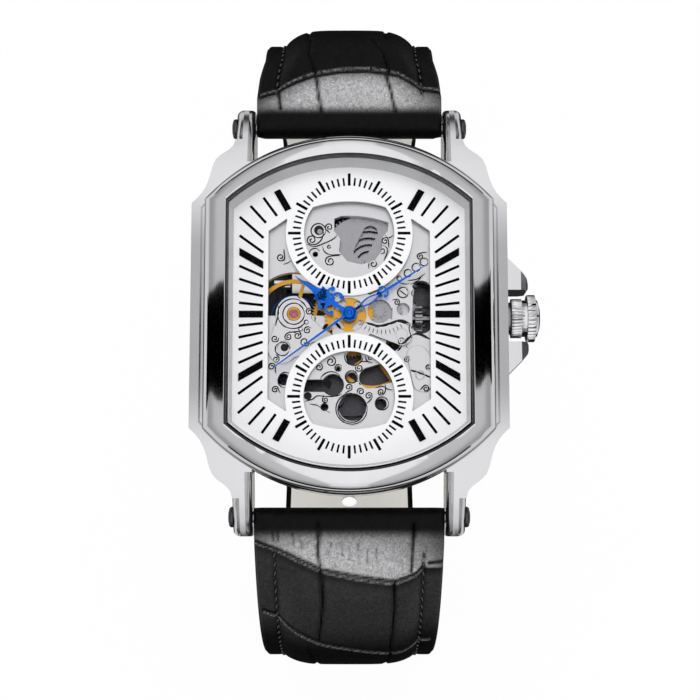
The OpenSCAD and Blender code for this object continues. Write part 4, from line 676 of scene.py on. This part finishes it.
BROAD_LINES = [
    through((6.1, -4.5), (7.5, -2.95), (8.6, -2.3), (10.3, -3.05)),
    through((2.2, -1.0), (3.6, -1.45), (4.9, -1.2), (6.4, -0.75), (7.6, -1.1)),
    through((7.5, -6.95), (8.9, -7.35), (10.3, -7.95)),
    [(6.35, 3.15), (6.6, 2.96), (6.95, 2.7), (7.2, 2.5)]]
# Painted shade and painted highlight: black for the shaded outline of each cut, white for its lit lip.
painted_black_shade = finish("painted_shade_black", paint("#121214"), paint("#262628"), 0.6, 0.08, 0.2,
               Specular_IOR_Level=0.2)
painted_lip_highlight = finish("painted_highlight_lip", paint("#e6e6e8"), paint("#ffffff"), 0.35, 0.3, 0.05, Metallic=0.25)
engraved("engraved_grooves", GROOVES, 0.0, 0.18, 0.008, painted_black_shade)
engraved("engraved_wide_grooves", BROAD_LINES, 0.0, 0.34, 0.006, painted_black_shade)
engraved("engraving_painted_highlights", GROOVES, 0.11, 0.13, 0.004, painted_lip_highlight)

# Gold chaton. The turned ring of gilt brass that holds the balance jewel and laps over its rim.
# It is pressed into the cock.
CHATON_X, CHATON_Y, CHATON_R, CHATON_WIRE = -7.0, 0.16, 0.7, 0.19
jewel_top = max(v.co.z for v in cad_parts["jewels"].data.vertices
                if math.hypot(v.co.x - CHATON_X * MM, v.co.y - CHATON_Y * MM) < 1.0 * MM)
middle = (CHATON_X * MM, CHATON_Y * MM, jewel_top)
bpy.ops.object.select_all(action="DESELECT")
bpy.ops.mesh.primitive_torus_add(major_radius=CHATON_R * MM, minor_radius=CHATON_WIRE * MM,
                                 major_segments=48, minor_segments=12, location=middle)
bpy.ops.object.mode_set(mode="EDIT")
bpy.ops.transform.resize(value=(1, 1, 0.5), center_override=middle)
bpy.ops.object.mode_set(mode="OBJECT")
chaton = joined([bpy.context.object], "gold_chaton")
bpy.ops.object.shade_smooth()
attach(chaton, "case")
dress(chaton, gilt)


# Drilled recesses. Flat-bottomed countersinks in the plates: their shaded walls are painted as
# black discs, painted shade, and their floors are bare brushed metal.
DISC_THICK, DISC_EDGE = 0.016, 0.006


def sunk(name, spots, mat, rise):
    """Round recesses on the plates, given as places and radii, as one piece of thin discs."""
    parts = []
    for x, y, r in spots:
        z = plate_under(x, y)
        if z is None:
            continue
        bpy.ops.object.select_all(action="DESELECT")
        bpy.ops.mesh.primitive_cylinder_add(vertices=36, radius=r * MM, depth=DISC_THICK * MM,
                                            location=(x * MM, y * MM, (z + rise) * MM))
        bpy.ops.object.mode_set(mode="EDIT")
        bpy.ops.mesh.bevel(offset=DISC_EDGE * MM, segments=1)
        bpy.ops.object.mode_set(mode="OBJECT")
        parts.append(bpy.context.object)
    piece = joined(parts, name)
    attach(piece, "case")
    dress(piece, mat)


# Painted shade: black discs for the recesses' walls.
sunk("drilled_holes_painted_shade", [
    (-3.85, 11.0, 0.62), (-4.4, 7.9, 0.38), (-1.36, -6.65, 0.33), (0.58, -5.15, 1.0),
    (0.3, -7.8, 0.66), (-2.28, -8.6, 1.3), (4.15, -11.1, 0.6), (-8.15, -4.05, 0.5),
    (-7.8, -7.9, 0.6), (0.3, -11.5, 1.45), (6.9, 0.6, 0.72), (-3.2, -11.5, 0.4),
    (8.95, -0.95, 0.12), (-2.55, 8.85, 0.1), (-5.2, -10.2, 0.5)], painted_black_shade, 0.002)
sunk("drilled_floors", [
    (-3.75, 10.85, 0.32), (0.3, -12.1, 1.05), (4.3, -11.2, 0.25), (-2.0, -8.9, 0.45),
    (6.75, 0.5, 0.2)], brushed, 0.008)

# Strap. Calf leather embossed with a crocodile pattern, glazed black, padded in the middle and
# sewn along both edges. The upper half carries the buckle, the lower half ends in the tail.
BAR_Y, BAR_Z, DOWN, FIRST = 25.2, 3.6, 94.0, 3


def stride(row, s):
    """The place and the heading at the length s along one straight or bent part of a route."""
    y, z, heading, length, turn = row
    a = math.radians(heading)
    if turn == 0:
        return y + s * math.cos(a), z - s * math.sin(a), heading
    r = length / math.radians(turn)
    b = a + s / r
    return y + r * (math.sin(b) - math.sin(a)), z - r * (math.cos(a) - math.cos(b)), math.degrees(b)


def route(start, bend, roll, foot_z, foot):
    """The strap's middle line as rows of [y, z, heading, length, turn], in millimetres and degrees:
    straight, bent down at the radius bend, straight, rolled in at the radius roll, straight."""
    cos, sin = (lambda d: math.cos(math.radians(d))), (lambda d: math.sin(math.radians(d)))
    leg = (BAR_Z - FIRST * sin(start) - bend * (cos(start) - cos(DOWN)) - roll * (cos(DOWN) + 1)
           - foot_z) / sin(DOWN)
    plan = [(FIRST, 0), (bend * math.radians(DOWN - start), DOWN - start), (leg, 0),
            (roll * math.radians(180 - DOWN), 180 - DOWN), (foot, 0)]
    rows, y, z, heading = [], BAR_Y, BAR_Z, start
    for length, turn in plan:
        rows.append((y, z, heading, length, turn))
        y, z, heading = stride(rows[-1], length)
    return rows


def spot_on(rows, s):
    """The place and the heading at the length s along the whole route."""
    for row in rows[:-1]:
        if s <= row[3]:
            return stride(row, s)
        s -= row[3]
    return stride(rows[-1], s)


def table_at(s, pairs):
    """A measure of the strap at the length s, between the pairs of a table."""
    return float(np.interp(s, [p[0] for p in pairs], [p[1] for p in pairs]))


def smooth(t):
    """A soft step from 0 to 1."""
    t = np.clip(t, 0, 1)
    return t * t * (3 - 2 * t)


def groove_depth(x, s, lines, width):
    """How strongly each point lies in one of the embossed grooves, from 0 to 1."""
    depth = np.zeros_like(x)
    for line in lines:
        for (x0, s0), (x1, s1) in zip(line[:-1], line[1:]):
            dx, ds = x1 - x0, s1 - s0
            t = np.clip(((x - x0) * dx + (s - s0) * ds) / (dx * dx + ds * ds), 0, 1)
            d2 = (x - x0 - t * dx) ** 2 + (s - s0 - t * ds) ** 2
            depth = np.maximum(depth, np.exp(-d2 / width ** 2))
    return depth


def scales_of(start, total, seed):
    """Crocodile belly scales past the part that the photograph shows: seams along and across."""
    rng = np.random.default_rng(seed)
    lines = []
    for side in (-1, 1):
        lines.append([(side * 4.9 + rng.uniform(-0.8, 0.8), s) for s in np.arange(start, total + 6, 6.0)])
    s = start + 6.0
    while s < total:
        bow = rng.uniform(-1.4, 1.4)
        lines.append([(x, s + bow * (1 - (x / 9) ** 2) + rng.uniform(-0.3, 0.3))
                      for x in (-8.6, -5.2, -2.5, 0, 2.5, 5.2, 8.6)])
        s += rng.uniform(9, 12)
    return lines


# Grooves beside the lugs, as x across and s along the strap, in millimetres. The first line of
# each half is the fold that ends the padded roll.
UPPER_SCALES = [
    [(-11.5, 4.0), (-8.3, 5.0), (-4.8, 5.9), (-1.2, 6.4), (2.4, 6.5), (6.4, 6.1), (9.6, 5.0), (11.8, 4.7)],
    [(-5.1, 12.0), (-5.3, 9.0), (-4.4, 6.2), (-4.0, 4.0), (-3.6, 1.7)], [(3.0, 12.0), (4.4, 8.9), (5.2, 6.4)],
    [(4.7, 6.3), (5.4, 4.3), (6.0, 1.8)], [(-9.2, 4.4), (-8.9, 2.2)]]
LOWER_SCALES = [
    [(-11.8, 2.9), (-7.4, 4.4), (-3.4, 5.9), (1.3, 6.7), (5.7, 7.2), (8.4, 6.6), (9.2, 6.0)],
    [(-10.9, 11.9), (-8.5, 12.9), (-3.5, 15.3), (2.0, 16.8), (6.9, 17.9), (10.4, 17.2)],
    [(-3.9, 0.0), (-3.8, 1.5), (-3.9, 4.3), (-3.5, 6.4), (-3.3, 9.5), (-3.8, 14.9)],
    [(8.1, 0.0), (8.1, 1.5), (7.8, 6.4)], [(5.6, 7.4), (5.7, 10.3), (5.2, 16.9)], [(10.0, 5.6), (11.8, 5.4)]]
WRINKLES = [[(x, a), (x + d, b)] for x, d, a, b in (
    (-9.6, 0.1, 1.8, 2.8), (-9.0, 0.1, 1.7, 2.9), (-7.1, 0.1, 2.0, 3.3), (-5.9, 0.0, 2.8, 3.6),
    (-2.3, -0.2, 3.1, 4.3), (-1.0, 0.1, 3.0, 4.4), (0.1, 0.0, 3.6, 4.8), (1.2, 0.1, 3.2, 5.2),
    (2.2, 0.0, 3.9, 5.3), (3.4, 0.1, 3.7, 5.6))]
TOP_POINTS, LOW_POINTS, CROWD = 121, 23, 0.9
ROOT_R, ROOT_IN, LOOP_R, TIP = 1.65, 1.2, 1.4, 9.0
SEAM_AT, SEAM_FROM, SEAM_WIDE, SEAM_DEEP = 0.79, 4, 0.3, 0.22
PAD_FLAT, PAD_ROUND, BOW, ROOT_FADE, ROOT_SIDE = 5, 1.1, 0.04, 3.2, 2.2
EDGE_DROP, EDGE_WIDE, EDGE_UNDER = 0.4, 0.25, 0.3
GROOVE_WIDE, GROOVE_DEEP = 0.2, 0.32
CREASE_WIDE, CREASE_DEEP, CREASE_SHADE = 0.12, 0.12, 0.7
CREST_AT, CREST_WIDE, CREST_HIGH = 0.24, 0.12, 0.08
PAST_ROOT, SHEEN_SIDES = 1.5, 0.85


def stations_of(length, end):
    """Where along the strap its section is drawn, closest together beside the lugs and the end."""
    marks = [-ROOT_IN * math.cos(a) for a in np.linspace(0.16, math.pi / 2, 7)][:-1]
    marks += list(np.arange(0, 20, 0.2)) + list(np.linspace(20, length, int((length - 20) / 0.4)))
    if end == "loop":
        return marks + [length + LOOP_R * math.sin(a) for a in np.linspace(0, 1.4, 7)[1:]]
    marks = [s for s in marks if s < length - TIP]
    return marks + [length - TIP + TIP * math.sin(a) for a in np.linspace(0, 1.46, 34)]


def cap_at(s, length, end):
    """The most that the skin may stand from the middle line, which rounds the root and the loop."""
    if s < 0:
        return ROOT_R * math.sqrt(max(1 - (s / ROOT_IN) ** 2, 0.01))
    if end == "loop" and s > length:
        return math.sqrt(max(LOOP_R ** 2 - (s - length) ** 2, 0.01))
    return math.inf


# Painted highlight: the band of grey sheen on each strap half.
def painted_sheen_of(x, s, half, fold, mirror):
    """The painted sheen, a painted highlight, between the root and the fold, less towards the edges."""
    t = np.clip((s - PAST_ROOT) / (fold - PAST_ROOT), 0, 1)
    painted_sheen = 0.35 + 1.15 * t if mirror else 0.25 + np.sin(math.pi * t ** 0.85)
    painted_sheen *= smooth((s - 1.3) / 1.5) * (1 - smooth((s - fold + 0.1) / 0.3))
    painted_sheen *= 1 - SHEEN_SIDES * (np.abs(x) / half) ** 2.2
    if mirror:
        painted_sheen += 0.05 * smooth((s - fold) / 1.5) * (1 - smooth((s - 12) / 5))
    return painted_sheen


def leather_half(name, rows, length, half_w, thick, lining, edge, end, seams, creases, mirror):
    """One strap half as a closed skin, lofted along its route and embossed."""
    stations = stations_of(length, end)
    across_top = np.sin(np.linspace(-math.pi / 2, math.pi / 2, TOP_POINTS) * CROWD)
    across_top /= math.sin(math.pi / 2 * CROWD)
    across_low = np.linspace(1, -1, LOW_POINTS + 2)[1:-1]
    rings, marks, crest_glints, shine = [], [], [], []
    cross = [line for line in seams if abs(line[-1][0] - line[0][0]) > abs(line[-1][1] - line[0][1])]
    for s in stations:
        y, z, heading = spot_on(rows, s)
        out_y, out_z = math.sin(math.radians(heading)), math.cos(math.radians(heading))
        half, border = half_w(s), edge(s)
        if end == "tip" and s > length - TIP:
            half *= math.sqrt(max(1 - ((s - length + TIP) / TIP) ** 2, 0.012))
        cap = cap_at(s, length, end)
        x = across_top * half
        inset = half - np.abs(x)
        pad = np.clip(1 - (np.abs(x) / (SEAM_AT * half)) ** PAD_FLAT, 0, 1) ** PAD_ROUND
        root = 1 - smooth((s - PAST_ROOT) / ROOT_FADE)
        pad = np.maximum(pad, root * smooth(inset / ROOT_SIDE))
        top = border + (thick(s) - border) * pad * (1 - BOW * (x / max(half, 0.1)) ** 2)
        top -= EDGE_DROP * np.exp(-(inset / EDGE_WIDE) ** 2)
        along = np.full_like(x, s)
        fade = smooth((s + 0.2) / 1.2)
        cut = groove_depth(x, along, seams, GROOVE_WIDE)
        crest = groove_depth(x, along - CREST_AT, cross, CREST_WIDE)
        top += fade * (CREST_HIGH * crest - GROOVE_DEEP * cut)
        fold = np.interp(x, [c[0] for c in seams[0]], [c[1] for c in seams[0]])
        # Creases are painted darker, as painted shade, as well as cut in.
        if creases:
            cut = np.maximum(cut, CREASE_SHADE * groove_depth(x, along, creases, CREASE_WIDE))
            top -= CREASE_DEEP * groove_depth(x, along, creases, CREASE_WIDE + 0.02)
        values = (cut * fade, crest * (1 - cut), painted_sheen_of(x, s, half, fold, mirror))
        for store, value in zip((marks, crest_glints, shine), values):
            store.append(np.concatenate((value, np.zeros(LOW_POINTS))))
        if s > SEAM_FROM and (end != "tip" or s < length - TIP - 1):
            seam = np.exp(-((np.abs(x) - SEAM_AT * half) / SEAM_WIDE) ** 2)
            top -= SEAM_DEEP * smooth((s - SEAM_FROM) / 0.8) * seam
        top = np.minimum(top, cap)
        low = -lining(s) + 0.25 * np.exp(-((half - np.abs(across_low * half)) / EDGE_UNDER) ** 2)
        low = np.maximum(low, -cap)
        ring = [(px, y + lift * out_y, z + lift * out_z) for px, lift in zip(x, top)]
        ring += [(px * half, y + lift * out_y, z + lift * out_z) for px, lift in zip(across_low, low)]
        rings.append(ring)
    m = len(rings[0])
    points = [(px * MM, (-py if mirror else py) * MM, pz * MM) for ring in rings for px, py, pz in ring]
    faces, inside = [], []
    for i in range(len(rings) - 1):
        for j in range(m):
            k = (j + 1) % m
            faces.append((m * i + j, m * (i + 1) + j, m * (i + 1) + k, m * i + k))
            inside.append(1 if TOP_POINTS <= j < m - 1 and stations[i] > 1 else 0)
    last = m * (len(rings) - 1)
    faces += [tuple(range(m)), tuple(last + j for j in range(m))[::-1]]
    if mirror:
        faces = [face[::-1] for face in faces]
    mesh = bpy.data.meshes.new(name)
    mesh.from_pydata(points, [], faces)
    layer = mesh.uv_layers.new(name="strap")
    loops = np.empty(len(mesh.loops), dtype=np.int32)
    mesh.loops.foreach_get("vertex_index", loops)
    xs = np.array([p[0] / MM for p in points])[loops]
    ss = np.repeat(np.array(stations), m)[loops]
    layer.data.foreach_set("uv", np.column_stack((xs / 10, ss / 10)).ravel())
    for label, values in (("groove", marks), ("glint_mask", crest_glints), ("painted_sheen_mask", shine)):
        mesh.attributes.new(label, "FLOAT", "POINT").data.foreach_set("value", np.concatenate(values))
    piece = fresh(name, mesh)
    dress(piece, glazed)
    mesh.materials.append(suede)
    mesh.polygons.foreach_set("material_index", np.array(inside + [0, 0], dtype=np.int32))
    bpy.ops.object.mode_set(mode="EDIT")
    bpy.ops.mesh.select_all(action="SELECT")
    bpy.ops.mesh.normals_make_consistent(inside=False)
    bpy.ops.object.mode_set(mode="OBJECT")
    bpy.ops.object.shade_smooth_by_angle(angle=math.radians(50))
    return piece


STITCH_PITCH, STITCH_SLANT, STITCH_SUNK = 1.12, 0.28, 0.02


def stitches(name, body, rows, half_w, edge, first, last, mirror):
    """Thread stitches along both seams, each a short rounded lay of thread, joined as one piece."""
    bpy.ops.object.select_all(action="DESELECT")
    bpy.ops.mesh.primitive_uv_sphere_add(segments=8, ring_count=5, radius=1)
    lay = bpy.context.object
    bpy.ops.object.mode_set(mode="EDIT")
    bpy.ops.transform.resize(value=(0.17 * MM, 0.42 * MM, 0.15 * MM))
    bpy.ops.object.mode_set(mode="OBJECT")
    spots = []
    for side in (-1, 1):
        for s in np.arange(first, last, STITCH_PITCH):
            y, z, heading = spot_on(rows, s)
            a = math.radians(heading)
            lift = edge(s) - STITCH_SUNK
            x = side * SEAM_AT * half_w(s)
            py, pz = y + lift * math.sin(a), z + lift * math.cos(a)
            turn = (Matrix.Rotation(a if mirror else -a, 4, "X")
                    @ Matrix.Rotation(STITCH_SLANT * side, 4, "Z"))
            spots.append(Matrix.Translation(Vector((x, -py if mirror else py, pz)) * MM) @ turn)
    thread = joined(copied(lay, spots), name)
    bpy.ops.object.shade_smooth()
    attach(thread, body)
    dress(thread, waxed)


# Glazed calf: near black, with fine pores. Where it bends over the padding beside the lugs it is
# painted speckled grey in a band, a painted highlight, and its coat shines more there. The strap's
# map counts centimetres, so a scale of 34 sets the pores 0.3 mm apart.
glazed = blank("glazed_black_calf_leather")
uv = add(glazed, "UVMap", {"uv_map": "strap"})
pores = add(glazed, "TexVoronoi", {"feature": "DISTANCE_TO_EDGE"},
            {"Vector": uv.outputs[0], "Scale": 34.0, "Randomness": 0.95})
crease = add(glazed, "TexNoise", None, {"Vector": uv.outputs[0], "Scale": 9.0, "Detail": 6.0})
specks = add(glazed, "TexNoise", None,
             {"Vector": uv.outputs[0], "Scale": 30.0, "Detail": 4.0, "Distortion": 1.5})
fine = add(glazed, "Math", {"operation": "MULTIPLY"}, {0: pores.outputs["Distance"], 1: 0.7})
both = add(glazed, "Math", {"operation": "ADD"}, {0: fine.outputs[0], 1: crease.outputs["Fac"]})
relief = add(glazed, "Bump", None,
             {"Height": both.outputs[0], "Strength": 0.6, "Distance": 0.18 * MM})
# Painted highlight: the sheen mask blends the black towards speckled grey.
painted_sheen_mask = add(glazed, "Attribute", {"attribute_name": "painted_sheen_mask"})
gloss = add(glazed, "MapRange", None, {0: crease.outputs["Fac"], 3: 0.3, 4: 0.44})
black = add(glazed, "Mix", RGBA,
            {0: crease.outputs["Fac"], 6: paint("#030303"), 7: paint("#101011")})
contrast = add(glazed, "MapRange", None, {0: specks.outputs["Fac"], 1: 0.36, 2: 0.66})
grey = add(glazed, "Mix", RGBA,
           {0: contrast.outputs[0], 6: paint("#6c6c6e"), 7: paint("#b4b4b6")})
painted_sheen = add(glazed, "Mix", RGBA,
             {0: painted_sheen_mask.outputs["Fac"], 6: black.outputs[2], 7: grey.outputs[2]})
# Painted highlight: light grey glints on the raised crests beside the cross grooves.
glint_mask = add(glazed, "Attribute", {"attribute_name": "glint_mask"})
crest = add(glazed, "Math", {"operation": "MULTIPLY"},
            {0: glint_mask.outputs["Fac"], 1: contrast.outputs[0]})
glinted = add(glazed, "Mix", RGBA,
            {0: crest.outputs[0], 6: painted_sheen.outputs[2], 7: paint("#a8a8aa")})
# Painted shade: grooves and creases are coloured near black and lose the painted sheen.
cut = add(glazed, "Attribute", {"attribute_name": "groove"})
groove_shaded = add(glazed, "Mix", RGBA,
               {0: cut.outputs["Fac"], 6: glinted.outputs[2], 7: paint("#020202")})
glaze = add(glazed, "Math", {"operation": "SUBTRACT", "use_clamp": True},
            {0: painted_sheen_mask.outputs["Fac"], 1: cut.outputs["Fac"]})
surface(glazed, add(glazed, "BsdfPrincipled", None,
                    {"Base Color": groove_shaded.outputs[2], "Roughness": gloss.outputs[0],
                     "Specular IOR Level": 0.07, "Coat Weight": glaze.outputs[0],
                     "Coat Roughness": 0.28, "Coat IOR": 2.2, "Normal": relief.outputs[0],
                     "Coat Normal": relief.outputs[0]}).outputs[0])

# Lining: pale split suede, soft and dull. Thread: waxed black polyester, whose twist shows as
# slanting ridges.
suede = blank("pale_split_suede")
hide_uv = add(suede, "UVMap", {"uv_map": "strap"})
nap = add(suede, "TexNoise", None, {"Vector": hide_uv.outputs[0], "Scale": 40.0, "Detail": 6.0})
hide = add(suede, "Mix", RGBA,
           {0: nap.outputs["Fac"], 6: paint("#e6e3dc"), 7: paint("#f6f4ef")})
lie = add(suede, "Bump", None,
          {"Height": nap.outputs["Fac"], "Strength": 0.4, "Distance": 0.1 * MM})
surface(suede, add(suede, "BsdfPrincipled", None,
                   {"Base Color": hide.outputs[2], "Roughness": 0.9, "Specular IOR Level": 0.1,
                    "Normal": lie.outputs[0]}).outputs[0])
waxed = blank("waxed_black_thread")
ply = add(waxed, "TexWave", None,
          {"Vector": add(waxed, "TexCoord").outputs["Object"],
           "Scale": 1 / (1.2 * MM), "Distortion": 1.0})
twist = add(waxed, "Bump", None,
            {"Height": ply.outputs["Fac"], "Strength": 0.5, "Distance": 0.04 * MM})
strand = add(waxed, "Mix", RGBA,
             {0: ply.outputs["Fac"], 6: paint("#080808"), 7: paint("#222224")})
surface(waxed, add(waxed, "BsdfPrincipled", None,
                   {"Base Color": strand.outputs[2], "Roughness": 0.3, "Coat Weight": 0.6,
                    "Coat Roughness": 0.2, "Normal": twist.outputs[0]}).outputs[0])


def punched(piece, cutters):
    """Holes through the leather, cut by boolean, with the cutters removed after."""
    tool = joined(cutters, "punch")
    bpy.ops.object.select_all(action="DESELECT")
    piece.select_set(True)
    bpy.context.view_layer.objects.active = piece
    holes = piece.modifiers.new("holes", "BOOLEAN")
    holes.operation = "DIFFERENCE"
    holes.solver = "EXACT"
    holes.object = tool
    bpy.ops.object.modifier_apply(modifier="holes")
    bpy.data.objects.remove(tool)


# Six buckle holes in the tail, seven millimetres apart, and in the upper half the slot through
# which the tang reaches its bar.
HOLE_PITCH, HOLE_FIRST, HOLE_R, SLOT_PAST = 7, 16, 0.8, 1.4
upper_rows = route(5, 11.5, 10, -46.95, 13)
lower_rows = route(6, 15.5, 14, -48.2, 21.5)
for name, node, body, rows, mirror in (
        ("upper_strap_leather", "strap_12", "upper_strap", upper_rows, False),
        ("lower_strap_leather", "strap_6", "lower_strap", lower_rows, True)):
    length = sum(row[3] for row in rows)
    if mirror:
        wide, end, creases, last_stitch = [(0, 12.0), (3.4, 11.95), (16.4, 11.4)], "tip", WRINKLES, 11
        scales = LOWER_SCALES + scales_of(17, length, 8)
        holes = [length - HOLE_FIRST - HOLE_PITCH * i for i in range(6)]
        hole_shape = (1.5, 1, 1)
    else:
        wide, end, creases, last_stitch = [(0, 12.0), (4, 12.05), (7, 11.75), (10.5, 11.15)], "loop", None, 15
        scales = UPPER_SCALES + scales_of(12, length, 3)
        holes = [length + SLOT_PAST]
        hole_shape = (2.1, 5.2, 1)
    tables = [wide + [(27, 10.92), (48, 10.92), (length - 14, 10), (length, 10)],
              [(0, 1.65), (1.5, 1.75), (5, 2.55), (9, 3.3), (16, 3.15), (27, 1.98), (48, 1.98),
               (length - 15, 1.35), (length - 13, 1.3), (length, 1.3)],
              [(0, 1.65), (3, 1.5), (6, 1.45), (48, 1.3), (length - 14, 1.1), (length, 1.1)],
              [(0, 1.5), (4, 1.1), (9, 1.0), (length, 0.85)]]
    half_w, thick, lining, edge = [lambda s, t=t: table_at(s, t) for t in tables]
    piece = leather_half(name, rows, length, half_w, thick, lining, edge, end, scales, creases, mirror)
    cutters = []
    for s in holes:
        y, z, heading = spot_on(rows, s)
        bpy.ops.object.select_all(action="DESELECT")
        bpy.ops.mesh.primitive_cylinder_add(vertices=28, radius=HOLE_R * MM, depth=7 * MM)
        bpy.ops.object.mode_set(mode="EDIT")
        bpy.ops.transform.resize(value=hole_shape)
        bpy.ops.object.mode_set(mode="OBJECT")
        punch = bpy.context.object
        a = math.radians(heading)
        punch.data.transform(Matrix.Translation(Vector((0, -y if mirror else y, z)) * MM)
                             @ Matrix.Rotation(a if mirror else -a, 4, "X"))
        cutters.append(punch)
    punched(piece, cutters)
    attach(piece, body)
    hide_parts(node)
    stitches("seam_thread_" + node, body, rows, half_w, edge, 4.6, length - last_stitch, mirror)

# Keepers, buckle and tang. The keepers are loops of grained calf, one sewn down and one loose.
# The buckle's frame, bar and tang are bent and turned from polished steel.
grained = finish("grained_black_calf", paint("#060606"), paint("#1c1c1d"), 0.38, 0.35, 0.5)
for name, body in (("fixed_keeper", "upper_strap"), ("free_keeper", "loose_keeper")):
    dress(refined(name, body, 0.35, 40, 3), grained)
for name, body in (("buckle_frame", "buckle"), ("buckle_tang", "tang"), ("buckle_bar", "buckle")):
    dress(refined(name, body, 0.1), bezel_steel)
